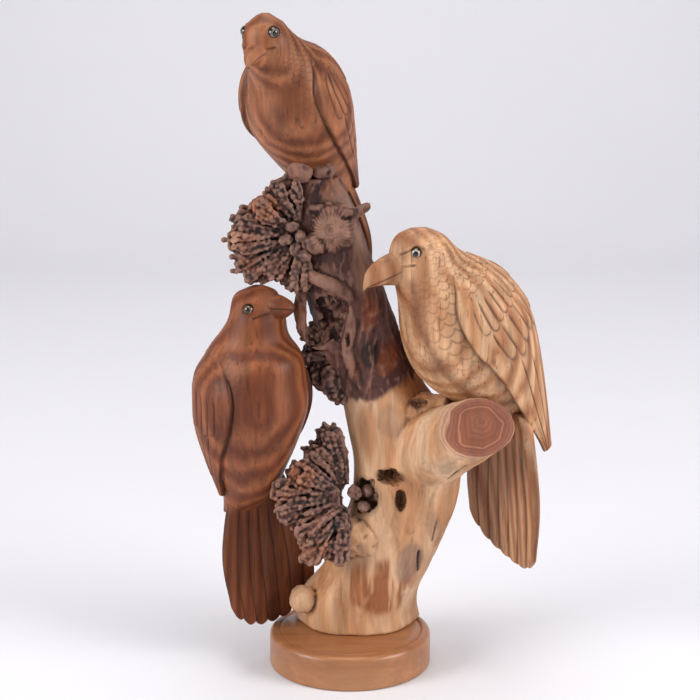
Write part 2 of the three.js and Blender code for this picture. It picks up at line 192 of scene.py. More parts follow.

# The birds. `at` is where a bird's own axis stands and `turn` is how far it faces round, in
# degrees. A body row is forward and z of the breast, forward and z of the back, and the half
# width, from the rump to the crown. A beak row is how far it reaches from the middle of the head,
# z of its top, of the mouth and of its underside, and its half width. An edge row is where the
# wing's front edge lies: along the body, and degrees round from the breast.
# A tail's stain value darkens it partly for its wood's own tone and partly as painted shade.
LEFT_BIRD = {
    "name": "left_bird", "at": [-74, -8], "turn": 36,
    "body": [
        [-9, 122, -28, 122, 14],
        [9, 135, -29, 136, 17],
        [21, 149, -33, 149, 22],
        [27, 162, -38, 163, 27.5],
        [33, 174, -42, 176, 32],
        [40, 190, -46, 192, 36.8],
        [47, 211, -45, 213, 39.8],
        [46, 231, -43, 234, 39.1],
        [44, 249, -34, 252, 33.5],
        [31, 264, -21, 266, 26.3],
        [28, 280, -13, 278, 22.8],
        [26, 291, -10, 294, 16.8],
        [24, 299.5, -2, 299.5, 8],
        [16, 302.5, 5, 302.5, 3],
    ],
    "head": {"at": [6, 280], "turn": 22},
    "beak": [
        [12, 298, 287, 276, 10],
        [20, 297.5, 288, 278, 9],
        [27, 295.5, 288.5, 280.5, 7],
        [32, 293, 288.5, 284, 4.5],
        [34.5, 289.5, 287.5, 286.5, 1.5],
    ],
    "mouth": [[0.781, 60], [0.797, 29], [0.8, 0]],
    "eye": {"along": 0.816, "around": 75, "radius": 4.2},
    "edge": [
        [0.61, 86], [0.555, 64], [0.505, 58], [0.45, 59],
        [0.39, 62], [0.31, 73], [0.23, 84], [0.15, 97],
    ],
    "wing_tip": [21.4, -10.6, 139], "wing_band": 0.1,
    "tiers": [[0.26, 0.55, 12, 0.0], [0.55, 0.8, 9, 0.15], [0.8, 1.3, 6, 0.3]],
    "tail": {
        "root": [11, -14, 150], "end": [24.5, -10, 26.5], "widths": [21, 44],
        "thick": 5, "round": 0.09, "slant": -0.03, "tips": 0.03, "stain": 0.35,
    },
    "feather_depth": 0.8, "scales_round": 34, "scallops": 0.16, "scallop_shade": 0.3,
    "scallop_range": [0.2, 0.6], "plain_breast": 0.3, "mouth_depth": 0.7, "nostrils": [], "beak_stain": 0.0,
    "stains": [
        [[[0.74, -41], [0.605, -34], [0.457, -33], [0.261, -29]], 1.3, 0.45],
        [[[0.62, 5], [0.5, 8], [0.35, 4]], 9, 0.25],
        [[[0.66, -95], [0.6, -90], [0.52, -86]], 8, -0.35],
        [[[0.83, -50], [0.85, -20]], 5, -0.3],
    ],
}
TOP_BIRD = {
    "name": "top_bird", "at": [-37, 0], "turn": -28,
    "body": [
        [-49, 352, -64, 360, 13],
        [-29, 362, -57, 384, 19.7],
        [-12, 373, -47, 412, 26.2],
        [8, 387, -35, 438, 32.5],
        [27, 405, -20, 458, 38.7],
        [39, 426, -10, 472, 35.1],
        [44, 450, 5, 481, 26.6],
        [56, 466, 21, 488, 20.9],
        [61, 480, 30, 493, 17.8],
        [61, 492, 36, 498, 13.9],
        [54, 500.5, 40, 500, 8],
        [49, 503.3, 44, 503, 2.5],
    ],
    "head": {"at": [39, 479], "turn": -4},
    "beak": [
        [10, 488, 477, 464, 10],
        [18, 485, 476, 465, 9],
        [23, 482, 474.5, 467, 7.5],
        [27, 478, 472, 468, 5.5],
        [29.5, 472.5, 468.5, 467.5, 3],
        [29.8, 468.5, 466, 465.5, 1],
    ],
    "mouth": [[0.71, 47], [0.711, 26], [0.706, 9]],
    "eye": {"along": 0.785, "around": 59, "radius": 4.2},
    "edge": [
        [0.565, 93], [0.53, 77], [0.49, 63], [0.43, 59],
        [0.35, 60], [0.28, 66], [0.22, 76], [0.155, 90],
    ],
    "wing_tip": [18, -56, 366], "wing_band": 0.12,
    "tiers": [[0.17, 0.5, 12, 0.0], [0.5, 0.78, 9, 0.15], [0.78, 1.3, 6, 0.3]],
    "tail": {
        "root": [0, -50, 376], "end": [0, -62, 286], "widths": [14, 34],
        "thick": 5, "round": 0.05, "slant": 0, "tips": 0.03, "stain": 0.1,
    },
    "feather_depth": 0.9, "scales_round": 26, "scallops": 0.3, "scallop_shade": 0.75,
    "scallop_range": [0.3, 0.56], "plain_breast": 0.25, "mouth_depth": 0.6, "nostrils": [], "beak_stain": -0.15,
    "stains": [
        [[[0.48, 9], [0.465, 13]], 6.5, 0.75],
        [[[0.385, 18], [0.38, 24]], 4, 0.5],
        [[[0.63, 3], [0.576, 4], [0.53, -4]], 5, 0.45],
        [[[0.43, 0], [0.36, 10], [0.3, 20]], 9, 0.3],
        [[[0.58, -30], [0.47, -32], [0.38, -26]], 7, -0.45],
        [[[0.62, 60], [0.56, 75], [0.5, 70]], 9, -0.45],
    ],
}
RIGHT_BIRD = {
    "name": "right_bird", "at": [88, -8], "turn": -58,
    "body": [
        [-39, 183, -64, 196, 16.5],
        [-21, 192, -64, 222, 26.1],
        [-3, 205, -59, 248, 34.7],
        [24, 221, -51, 274, 40.6],
        [42, 239, -38, 296, 43.8],
        [52, 262, -20, 314, 39.4],
        [56, 288, -1, 324, 31.5],
        [62, 307, 12, 331, 21.6],
        [66, 323, 18, 336, 19.3],
        [66, 336, 23, 341, 14.6],
        [61, 344.5, 29, 345, 9],
        [52, 348.5, 38, 348.5, 3],
    ],
    "head": {"at": [38, 321], "turn": -8},
    "beak": [
        [14, 338, 322, 306, 13],
        [22, 335, 320.5, 307, 11.5],
        [30, 331.5, 316.5, 308, 9],
        [38, 328, 313, 308.3, 7],
        [44, 324, 310.5, 307.8, 5.2],
        [48.5, 318.5, 308.5, 307.2, 3.5],
        [50.5, 311, 305.3, 305, 1],
    ],
    "mouth": [[0.716, 55], [0.716, 25], [0.69, 0]],
    "eye": {"along": 0.777, "around": 63, "radius": 4},
    "edge": [
        [0.6, 95], [0.55, 80], [0.5, 69], [0.44, 66],
        [0.37, 67], [0.28, 72], [0.205, 70], [0.13, 76],
    ],
    "wing_tip": [27, -58, 168], "wing_band": 0.15,
    "tiers": [[0.27, 0.48, 12, 0.0], [0.48, 0.66, 9, 0.15], [0.66, 1.3, 6, 0.3]],
    "tail": {
        "root": [8, -34, 204], "end": [0.5, -40, 81.5], "widths": [24, 47],
        "thick": 6, "round": 0.05, "slant": 0.085, "tips": 0.014, "stain": 0.3,
    },
    "feather_depth": 1.1, "scales_round": 24, "scallops": 0.35, "scallop_shade": 0.75,
    "scallop_range": [0.2, 0.45], "plain_breast": 0.55, "mouth_depth": 0.9, "nostrils": [[17, 331]],
    "beak_stain": 0.45,
    "brow": [[0.779, 32], [0.793, 50], [0.815, 67], [0.79, 80]],
    "stains": [
        [[[0.64, 36], [0.585, 28], [0.509, 22], [0.457, 27], [0.405, 30], [0.338, 32], [0.263, 37]], 4.5, 0.7],
        [[[0.56, 46], [0.518, 38], [0.451, 41], [0.365, 47]], 5, -0.5],
        [[[0.85, 104], [0.78, 100], [0.7, 92]], 9, -0.9],
        [[[0.87, 30], [0.91, 70], [0.92, 90]], 7, 0.55],
        [[[0.6, 5], [0.5, 4], [0.4, 8]], 8, 0.2],
        [[[0.79, 25], [0.77, 34]], 5, 0.4],
    ],
}
TAIL_FEATHERS = 7
WING_TRAIL = 165
BIRD_TRIANGLES = 150000
# ------------------------------------------------------------------ numbers


def lerp(a, b, t):
    return a + (b - a) * t


def smooth(x, low, high):
    s = np.clip((x - low) / (high - low), 0, 1)
    return s * s * (3 - 2 * s)


def curve(rows, t):
    """The smooth curve through rows of numbers, for an array of t from 0 to 1."""
    rows = np.asarray(rows, float)
    t = np.asarray(t, float)
    last = len(rows) - 1
    i = np.clip(np.floor(t * last).astype(int), 0, last - 1)
    u = (t * last - i)[..., None]
    a, b, c, d = (rows[np.clip(i + k, 0, last)] for k in (-1, 0, 1, 2))
    return b + 0.5 * u * (c - a + u * (2 * a - 5 * b + 4 * c - d + u * (3 * (b - c) + d - a)))


def noise(points, size, seed=0, octaves=1):
    """Smooth random values from about -1 to 1, over a grid of `size` millimetres."""
    total = np.zeros(len(points))
    for octave in range(octaves):
        p = points / (size / 2 ** octave) + 17.3 * (seed + octave)
        cell = np.floor(p).astype(np.int64)
        f = p - cell
        f = f * f * f * (f * (f * 6 - 15) + 10)
        value = 0
        for corner in range(8):
            step = np.array([corner & 1, corner >> 1 & 1, corner >> 2 & 1])
            c = cell + step
            h = (c[:, 0] * 73856093) ^ (c[:, 1] * 19349663) ^ (c[:, 2] * 83492791) ^ (seed * 2654435)
            h = (h ^ (h >> 13)) * 1274126177
            h = (h ^ (h >> 16)) & 0xFFFF
            weight = np.prod(np.where(step, f, 1 - f), axis=1)
            value = value + weight * (h / 32767.5 - 1)
        total += value / 2 ** octave
    return total


def ridged(points, size, seed=0, octaves=3):
    """Random values from about -1 to 1 that meet in sharp creases."""
    total = np.zeros(len(points))
    for octave in range(octaves):
        total += (1 - 2.4 * np.abs(noise(points, size / 2 ** octave, seed + octave))) / 2 ** octave
    return total / 1.75


def unit(v):
    return v / np.maximum(np.linalg.norm(v, axis=-1, keepdims=True), 1e-9)


# ------------------------------------------------------------------ meshes


class Shape:
    """A closed mesh in millimetres with named values on its vertices."""

    def __init__(self, points, faces, **values):
        self.points = np.asarray(points, float).reshape(-1, 3)
        self.faces = faces
        self.values = {k: np.asarray(v, float).ravel() for k, v in values.items()}
        first = np.array([[f[0], f[k], f[k + 1]] for f in faces[:0] for k in (1, 2)])
        quads = np.asarray([f if len(f) == 4 else (*f, f[0]) for f in faces])
        a, b, c, d = (self.points[quads[:, k]] for k in range(4))
        if (np.cross(b - a, c - a) * a).sum() + (np.cross(c - a, d - a) * a).sum() < 0:
            self.faces = [tuple(reversed(f)) for f in faces]


def grid_faces(rows, columns, start=0, closed=False):
    wide = columns if closed else columns - 1
    made = []
    for j in range(rows - 1):
        for i in range(wide):
            a = start + j * columns + i
            b = start + j * columns + (i + 1) % columns
            made.append((a, b, b + columns, a + columns))
    return made


def ring_shape(rings, **values):
    """A skin over rings, closed by a low dome at each end."""
    n, m, _ = rings.shape
    faces = grid_faces(n, m, closed=True)
    points = [rings.reshape(-1, 3), rings[0].mean(0)[None], rings[-1].mean(0)[None]]
    for i in range(m):
        faces.append((n * m, (i + 1) % m, i))
        faces.append((n * m + 1, (n - 1) * m + i, (n - 1) * m + (i + 1) % m))
    spread = {}
    for key, value in values.items():
        value = np.broadcast_to(value, (n, m))
        spread[key] = np.concatenate([value.ravel(), [value[0].mean()], [value[-1].mean()]])
    return Shape(np.concatenate(points), faces, **spread)


def slab_shape(outer, inner, **values):
    """A closed slab between two grids of points."""
    n, m, _ = outer.shape
    faces = grid_faces(n, m) + [tuple(reversed(f)) for f in grid_faces(n, m, start=n * m)]
    border = [(0, i) for i in range(m)] + [(j, m - 1) for j in range(1, n)]
    border += [(n - 1, i) for i in range(m - 2, -1, -1)] + [(j, 0) for j in range(n - 2, 0, -1)]
    loop = [j * m + i for j, i in border]
    for a, b in zip(loop, loop[1:] + loop[:1]):
        faces.append((b, a, a + n * m, b + n * m))
    spread = {k: np.tile(np.broadcast_to(v, (n, m)).ravel(), 2) for k, v in values.items()}
    return Shape(np.concatenate([outer.reshape(-1, 3), inner.reshape(-1, 3)]), faces, **spread)


def object_of(name, shape):
    mesh = bpy.data.meshes.new(name)
    mesh.from_pydata((shape.points * MM).tolist(), [], shape.faces)
    mesh.polygons.foreach_set("use_smooth", np.ones(len(mesh.polygons), bool))
    mesh.update()
    made = bpy.data.objects.new(name, mesh)
    bpy.context.scene.collection.objects.link(made)
    return made


def baked(piece):
    """Turns a piece's live modifiers into its mesh."""
    graph = bpy.context.evaluated_depsgraph_get()
    mesh = bpy.data.meshes.new_from_object(piece.evaluated_get(graph))
    piece.modifiers.clear()
    old, piece.data = piece.data, mesh
    bpy.data.meshes.remove(old)
    mesh.name = piece.name
    return piece


def thinned(piece, triangles):
    """Merges small faces where the surface is flattest until few enough are left."""
    faces = sum(len(p.vertices) - 2 for p in piece.data.polygons)
    if faces > triangles:
        thin = piece.modifiers.new("thin", "DECIMATE")
        thin.ratio = triangles / faces
        baked(piece)
    return piece


def dressed(piece, material):
    piece.data.polygons.foreach_set("use_smooth", np.ones(len(piece.data.polygons), bool))
    piece.data.materials.clear()
    piece.data.materials.append(material)
    return piece


def combined(piece, others, operation="UNION"):
    """Joins others to a piece, or cuts them out of it, and removes them."""
    for other in others:
        change = piece.modifiers.new("join", "BOOLEAN")
        change.solver = "MANIFOLD"
        change.operation = operation
        change.object = other
    baked(piece)
    for other in others:
        bpy.data.objects.remove(other)
    return piece


def points_of(piece):
    co = np.empty(len(piece.data.vertices) * 3)
    piece.data.vertices.foreach_get("co", co)
    return co.reshape(-1, 3) / MM


def edges_of(piece):
    pairs = np.empty(len(piece.data.edges) * 2, np.int64)
    piece.data.edges.foreach_get("vertices", pairs)
    return pairs.reshape(-1, 2)


def set_points(piece, points):
    piece.data.vertices.foreach_set("co", (points * MM).ravel())
    piece.data.update()


def neighbour_mean(values, edges):
    total = np.zeros_like(values)
    count = np.bincount(edges.ravel(), minlength=len(values)).astype(float)
    for k in range(values.shape[1]):
        total[:, k] = np.bincount(edges[:, 0], values[edges[:, 1], k], len(values))
        total[:, k] += np.bincount(edges[:, 1], values[edges[:, 0], k], len(values))
    return total / np.maximum(count, 1)[:, None]


def relaxed(points, edges, weight, rounds):
    for _ in range(rounds):
        points = lerp(points, neighbour_mean(points, edges), 0.6 * weight[:, None])
    return points


def normals_of(piece):
    n = np.empty(len(piece.data.vertices) * 3)
    piece.data.vertices.foreach_get("normal", n)
    return n.reshape(-1, 3)


def write_values(piece, **values):
    for key, value in values.items():
        layer = piece.data.attributes.new(key, "FLOAT", "POINT")
        layer.data.foreach_set("value", np.asarray(value, np.float32))


def carried_values(points, shapes, keys):
    """The named values of the nearest vertex among the shapes, for each point."""
    source = np.concatenate([s.points for s in shapes])
    values = {k: np.concatenate([s.values[k] for s in shapes]) for k in keys}
    tree = KDTree(len(source))
    for i, p in enumerate(source):
        tree.insert(p, i)
    tree.balance()
    nearest = np.array([tree.find(p)[1] for p in points])
    return {k: v[nearest] for k, v in values.items()}


# ------------------------------------------------------------------ birds


def turned(points, pivot, degrees):
    """Points turned about the upright line through a pivot."""
    a = np.radians(degrees)
    x, y = points[..., 0] - pivot[0], points[..., 1] - pivot[1]
    return np.stack([
        x * np.cos(a) - y * np.sin(a) + pivot[0],
        x * np.sin(a) + y * np.cos(a) + pivot[1],
        points[..., 2],
    ], -1)


def in_work(bird, points):
    """Points of a bird's own frame in the frame of the whole carving."""
    return turned(points, (0, 0), bird["turn"]) + [*bird["at"], 0]


def body_point(bird, t, around):
    """A point of the body: 0 degrees is the breast, 90 the bird's left side and 180 its back."""
    t, around = np.broadcast_arrays(np.asarray(t, float), np.radians(around))
    breast, breast_z, back, back_z, half_width = np.moveaxis(curve(bird["body"], t), -1, 0)
    share = 0.5 + 0.5 * np.cos(around)
    point = np.stack([
        half_width * np.sin(around),
        -lerp(back, breast, share),
        lerp(back_z, breast_z, share),
    ], -1)
    pivot = (0, -bird["head"]["at"][0])
    return turned(point, pivot, bird["head"]["turn"] * smooth(t, 0.57, 0.73))


def body_core(bird, t):
    return 0.5 * (body_point(bird, t, 0) + body_point(bird, t, 180))


def scale_rows(bird, t):
    """How many widths of a small feather lie between the crown and t."""
    ts = np.linspace(0, 1, 400)
    rows = curve(bird["body"], ts)
    core = 0.5 * (rows[:, [0, 1]] + rows[:, [2, 3]])
    girth = 0.5 * (rows[:, 4] + 0.5 * np.hypot(rows[:, 0] - rows[:, 2], rows[:, 1] - rows[:, 3]))
    step = np.linalg.norm(np.diff(core, axis=0), axis=1) / np.maximum(girth[1:], 6)
    run = np.concatenate([[0], np.cumsum(step)]) * bird["scales_round"] / (2 * math.pi)
    return np.interp(t, ts, run[-1] - run)


def scallops(across, down, pitch=0.6, stroke=0.055):
    """Overlapping small feathers: how high each lies, and the line round its free edge."""
    row = np.floor(down / pitch)
    height = np.zeros_like(across)
    line = np.zeros_like(across)
    taken = np.zeros(across.shape, bool)
    for k in (row, row + 1):
        past = down - k * pitch
        off = (across + 0.5 * (k % 2)) % 1 - 0.5
        r = np.hypot(off, past)
        mark = np.exp(-((r - 0.5) / stroke) ** 2) * smooth(past, 0.02, 0.2)
        line = np.where(taken, line, np.maximum(line, mark))
        inside = ~taken & ((past < 0) | (r < 0.5))
        height = np.where(inside, np.clip(1 + (past - 0.5) / 0.9, 0, 1), height)
        taken |= inside
    return height, line


def eye_centre(bird, side):
    eye = bird["eye"]
    surface = body_point(bird, eye["along"], side * eye["around"])
    return surface + 0.5 * eye["radius"] * unit(body_core(bird, eye["along"]) - surface)


def outward(rings):
    around = np.roll(rings, -1, 1) - np.roll(rings, 1, 1)
    along = np.gradient(rings, axis=0)
    normal = unit(np.cross(around, along))
    return normal * np.sign((normal * (rings - rings.mean(1, keepdims=True))).sum())


def line_distance(points, path, steps=60):
    """How far each point is from the nearest of a path's closely set points."""
    dense = curve(path, np.linspace(0, 1, steps))
    flat = points.reshape(-1, 3)
    nearest = np.full(len(flat), 1e9)
    for p in dense:
        nearest = np.minimum(nearest, ((flat - p) ** 2).sum(1))
    return np.sqrt(nearest).reshape(points.shape[:-1])


def bird_body(bird):
    """The body with its small feathers, eyelids, mouth line, the stains of its wood and painted shade in its cuts."""
    along, around = ((290, 290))
    t = np.linspace(0, 1, along)[:, None]
    angle = np.linspace(0, 360, around, endpoint=False)[None]
    rings = body_point(bird, t, angle)
    normal = outward(rings)
    t, angle = np.broadcast_arrays(t, angle)
    flat = rings.reshape(-1, 3)
    uneven = noise(flat, 14, 21).reshape(t.shape)
    front = np.cos(np.radians(angle))
    face = smooth(t, 0.62, 0.68) * smooth(front, -0.1, 0.35)
    low, high = bird["scallop_range"]
    feathered = (1 - face) * (1 - smooth(t, 0.83, 0.9)) * smooth(t, low, high)
    feathered = feathered * lerp(1, bird["plain_breast"], smooth(front, 0.6, 0.9))
    feathered = feathered * (0.75 + 0.25 * noise(flat, 30, 23).reshape(t.shape))
    height, line = scallops(
        angle / 360 * bird["scales_round"] + 0.07 * uneven,
        scale_rows(bird, t) + 0.09 * noise(flat, 19, 22).reshape(t.shape))
    relief = bird["scallops"] * feathered * (0.8 * height - 1.2 * line)
    # groove is painted shade: the cut line round each small feather darkened
    groove = bird["scallop_shade"] * feathered * line
    for side in (1, -1):
        eye = bird["eye"]
        off = np.linalg.norm(rings - eye_centre(bird, side), axis=-1) - eye["radius"]
        relief = relief + 0.55 * np.exp(-((off - 0.9) / 0.8) ** 2)
        # painted shadow: the ring round the eye, where the glass sits in its socket, darkened
        groove = np.maximum(groove, 0.9 * np.exp(-((off + 0.1) / 0.45) ** 2))
        for key, deep, line_shade in (("mouth", 1.0, 0.9), ("brow", 0.7, 0.8)):
            if key in bird:
                gap = line_distance(rings, [body_point(bird, a, side * b) for a, b in bird[key]])
                relief = relief - deep * np.exp(-(gap / 0.75) ** 2)
                relief = relief + 0.45 * np.exp(-((gap - 1.7) / 0.8) ** 2)
                # painted shade: the cut of the mouth line and of the brow darkened
                groove = np.maximum(groove, line_shade * np.exp(-(gap / 0.8) ** 2))
        edge = [body_point(bird, a, side * b) for a, b in bird["edge"]]
        gap = line_distance(rings, edge, 320)
        relief = relief - 0.5 * np.exp(-(gap / 1.0) ** 2)
        # painted shadow: a dark line on the body along the wing's raised front edge
        groove = np.maximum(groove, 0.9 * np.exp(-(gap / 0.9) ** 2))
    stain = np.zeros(t.shape)
    for path, wide, dark in bird["stains"]:
        gap = line_distance(rings, [body_point(bird, a, b) for a, b in path])
        stain = stain + dark * np.exp(-(gap / (wide * (1 + 0.35 * uneven))) ** 2)
    rings = rings + normal * relief[..., None]
    return ring_shape(rings, groove=groove, head=smooth(t, 0.8, 0.92), stain=stain, part=0 * t)


def wing_relief(bird, along, across):
    """Feathers of a wing: small ones on the shoulder, then two tiers, then the long ones."""
    band = smooth(across, bird["wing_band"] - 0.05, bird["wing_band"] + 0.03)
    depth = bird["feather_depth"]
    height, line = scallops(across * 7 + 0.2, along * 11, 0.62)
    small = 1 - smooth(along, bird["tiers"][0][0] - 0.06, bird["tiers"][0][0])
    relief = small * bird["scallops"] * (0.8 * height - 1.2 * line)
    # painted shade: the cut lines of the small shoulder feathers darkened
    groove = bird["scallop_shade"] * small * line
    for start, end, count, shift in bird["tiers"]:
        lane = across * count + shift + 2.0 * (along - start) * (1 - across)
        off = np.abs(lane % 1 - 0.5) * 2
        sway = 0.06 * (0.5 - across) + 0.012 * np.sin(2.4 * np.floor(lane))
        tip = end + sway - 0.03 * (1 - np.sqrt(np.maximum(1 - off ** 2, 0)))
        begin = start + sway
        here = smooth(along, begin, begin + 0.05) * (1 - smooth(along, tip - 0.004, tip + 0.01))
        edge = (1 - off) / 2 / count * 75
        cut = np.exp(-(edge / 0.62) ** 2) * here
        relief = relief - 1.25 * depth * cut + here * 0.3 * depth * (1 - off ** 2)
        past = smooth(along, tip + 0.012, tip - 0.008)
        relief = relief + 0.6 * depth * past
        rim = np.exp(-((along - tip - 0.004) / 0.007) ** 2) * smooth(along, begin, begin + 0.05)
        # painted shade: the cuts between feathers and the step under each tier's tips darkened
        groove = np.maximum(groove, np.maximum(cut, 0.8 * rim))
        relief = relief - 0.4 * depth * rim
    return relief * band, groove * band


def bird_wing(bird, side):
    """A folded wing: flush at the shoulder, proud along its front edge, narrowing to a free tip."""
    wide, long = ((116, 160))
    v = np.linspace(0, 1, wide)[:, None]
    t = np.linspace(0, 1, long)[None]
    v, t = np.broadcast_arrays(v, t)
    along, lead = np.moveaxis(curve(bird["edge"], t), -1, 0)
    around = lerp(lead, WING_TRAIL, v)
    on_body = body_point(bird, along, side * around)
    out = unit(on_body - body_core(bird, along))
    relief, groove = wing_relief(bird, t, v)
    edge = np.minimum(np.minimum(v / 0.035, (1 - v) / 0.04), np.minimum(t / 0.03 + 0.2, (1 - t) / 0.02))
    rounding = np.sqrt(1 - (1 - np.clip(edge, 0, 1)) ** 2)
    lift = 3.2 * smooth(t, 0, 0.3) * (1 - 0.75 * v) + 1.6 * smooth(t, 0.02, 0.16) - 1.0
    tip = bird["wing_tip"]
    grids = []
    for face in (1, -1):
        rise = lift * (0.5 + 0.5 * rounding) + relief if face > 0 else -5 * (1 - 0.5 * t)
        point = on_body + out * np.asarray(rise)[..., None]
        thick = 1.8 * rounding + (relief if face > 0 else 0)
        free = np.stack([
            side * (tip[0] + face * thick),
            -tip[1] + 5 * (v - 0.5),
            tip[2] + 1.75 * (v - 0.5),
        ], -1)
        grids.append(lerp(point, free, smooth(t, 0.62, 1.08)[..., None]))
    # painted shadow: a dark strip along the wing's front edge, where it stands proud of the body
    underside = np.exp(-(v / 0.012) ** 2) * smooth(t, 0.05, 0.12)
    groove = np.maximum(groove, 0.8 * underside)
    return slab_shape(*grids, groove=groove, head=0 * t, stain=0 * t, part=0 * t + 1)


def bird_tail(bird):
    """The tail: a slightly arched fan of feathers, parted by grooves and ending in round tips."""
    tail = bird["tail"]
    wide, long = ((141, 84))
    u = np.linspace(0, 1, wide)[:, None]
    reach = np.linspace(0, 1, long)[None]
    u, reach = np.broadcast_arrays(u, reach)
    v = 2 * u - 1
    lane = TAIL_FEATHERS * u
    feather = np.abs(np.sin(math.pi * lane))
    corners = tail["round"] * v ** 2 + 0.1 * v ** 4 - tail["slant"] * v
    down = reach * (1 - corners - tail["tips"] * (1 - feather ** 0.7))
    spread = np.sin(math.pi / 2 * np.minimum(1, 1.2 * reach)) - 0.2 * smooth(reach, 0.5, 1.1)
    half_width = lerp(*tail["widths"], spread)
    off = np.minimum(lane % 1, 1 - lane % 1) * 2 * half_width / TAIL_FEATHERS
    cut = np.exp(-(off / 0.6) ** 2) * smooth(reach, 0.12, 0.3)
    shaft = np.exp(-((lane % 1 - 0.5) * 2 * half_width / TAIL_FEATHERS / 0.5) ** 2)
    edge = np.minimum(np.minimum(u, 1 - u) / 0.03, (1 - reach) / 0.03)
    rounding = np.sqrt(1 - (1 - np.clip(edge, 0, 1)) ** 2)
    half = tail["thick"] / 2 * lerp(2.8, 1, reach) * (1 - 0.3 * v ** 2) * rounding
    relief = 0.4 * (feather - 1) + 0.7 * (lane % 1 - 0.5) - 0.7 * cut - 0.12 * shaft
    root, end = tail["root"], tail["end"]
    grids = []
    for face in (1, -1):
        grids.append(np.stack([
            lerp(root[0], end[0], down) + half_width * v,
            -lerp(root[1], end[1], down) - 0.12 * half_width * v ** 2
            + face * (half + np.where(rounding > 0.5, relief, 0) * rounding),
            lerp(root[2], end[2], down),
        ], -1))
    # groove is painted shade in the cuts that part the tail feathers
    # the tail's stain darkens it partly for its wood's tone and partly as painted shade, where it hangs in shade
    return slab_shape(
        *grids, groove=0.8 * cut, head=0 * v, stain=tail["stain"] * smooth(reach, 0.05, 0.3), part=0 * v + 2)


def bird_beak(bird):
    """The beak: one tapering form with the mouth line cut along both its sides."""
    along, around = ((60, 100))
    t = np.linspace(0, 1, along)[:, None]
    angle = np.linspace(0, 2 * math.pi, around, endpoint=False)[None]
    t, angle = np.broadcast_arrays(t, angle)
    reach, top, mouth, low, half_width = np.moveaxis(curve(bird["beak"], t), -1, 0)
    rise = np.sin(angle)
    z = np.where(rise >= 0, lerp(mouth, top, rise), lerp(mouth, low, -rise))
    wide = half_width * np.where(rise < 0, 0.9, 1)
    crease = np.exp(-((z - mouth + 0.3) / 0.5) ** 2)
    pit = np.zeros(t.shape)
    for at, up in bird["nostrils"]:
        pit = np.exp(-(((reach - at) / 1.7) ** 2 + ((z - up) / 0.9) ** 2))
    inward = bird["mouth_depth"] * crease * smooth(half_width, 1, 3) + 0.9 * pit
    head = bird["head"]["at"][0]
    rings = np.stack([(wide - inward) * np.cos(angle), -(head + reach), z], -1)
    rings = turned(rings, (0, -head), bird["head"]["turn"])
    # groove is painted shade in the mouth crease and the nostril pit
    return ring_shape(
        rings, groove=np.maximum(0.9 * crease, pit), head=0 * t + 0.6, stain=0 * t + bird["beak_stain"], part=0 * t + 3)


def eye_ball(bird, side, grow=0.0, detail=28):
    """An inlaid eye. Its values are how far a vertex lies from the middle of the pupil."""
    radius = bird["eye"]["radius"] + grow
    centre = eye_centre(bird, side)
    out = unit(centre - body_core(bird, bird["eye"]["along"]))
    across = unit(np.cross(out, [0, 0, 1]))
    up = np.cross(across, out)
    a = np.linspace(0.02, math.pi - 0.02, detail)[:, None]
    b = np.linspace(0, 2 * math.pi, 2 * detail, endpoint=False)[None]
    rings = centre + radius * (
        np.cos(a)[..., None] * out
        + (np.sin(a) * np.cos(b))[..., None] * across
        + (np.sin(a) * np.sin(b))[..., None] * up
    )
    return ring_shape(rings, gaze=np.broadcast_to(a, (detail, 2 * detail)) / math.pi)


def placed(bird, shape):
    shape.points = in_work(bird, shape.points)
    return shape


def bird_piece(bird, material):
    shapes = [bird_body(bird), bird_wing(bird, 1), bird_wing(bird, -1), bird_tail(bird), bird_beak(bird)]
    shapes = [placed(bird, s) for s in shapes]
    parts = [object_of("part", s) for s in shapes]
    piece = combined(parts[0], parts[1:])
    sockets = [object_of("socket", placed(bird, eye_ball(bird, s, 0.15))) for s in (1, -1)]
    combined(piece, sockets, "DIFFERENCE")
    piece.name = bird["name"] + "_carving"
    points, edges = points_of(piece), edges_of(piece)
    part = carried_values(points, shapes, ("part",))["part"]
    seam = np.zeros(len(points))
    ends = part[edges]
    crossing = edges[(ends[:, 0] != ends[:, 1]) & (ends.max(1) == 3)]
    seam[crossing.ravel()] = 1
    for _ in range(7):
        seam = np.maximum(seam, neighbour_mean(seam[:, None], edges)[:, 0] * 1.3)
    set_points(piece, relaxed(points, edges, np.clip(seam, 0, 1), 14))
    thinned(piece, BIRD_TRIANGLES)
    values = carried_values(points_of(piece), shapes, ("groove", "head", "stain"))
    write_values(piece, **values)
    return dressed(piece, material)


# ------------------------------------------------------------------ trunk


def stem_shape():
    along, around = ((300, 230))
    t = np.linspace(0, 1, along)[:, None]
    angle = np.linspace(0, 2 * math.pi, around, endpoint=False)[None]
    t, angle = np.broadcast_arrays(t, angle)
    x, y, z, half_width, half_depth = np.moveaxis(curve(TRUNK, t), -1, 0)
    flute = 1 + 0.045 * np.sin(3 * angle + 5 * t) + 0.03 * np.sin(5 * angle - 7 * t)
    rings = np.stack([
        x + half_width * flute * np.cos(angle), y + half_depth * flute * np.sin(angle), z,
    ], -1)
    return ring_shape(rings)


def branch_shape(branch, along=60, around=120):
    facing = unit(np.array(branch["normal"], float))
    across = unit(np.array([-facing[1], facing[0], 0]))
    up = np.cross(facing, across)
    t = np.linspace(0, 1, along)[:, None]
    angle = np.linspace(0, 2 * math.pi, around, endpoint=False)[None]
    t, angle = np.broadcast_arrays(t, angle)
    centre = lerp(np.array(branch["start"], float), np.array(branch["end"], float), t[..., None])
    width = lerp(branch["start_size"][0], branch["end_size"][0], t) * (1 + 0.03 * np.sin(3 * angle + 2))
    height = lerp(branch["start_size"][1], branch["end_size"][1], t) * (1 + 0.03 * np.sin(2 * angle + 1))
    return ring_shape(
        centre + (width * np.cos(angle))[..., None] * across + (height * np.sin(angle))[..., None] * up
    )


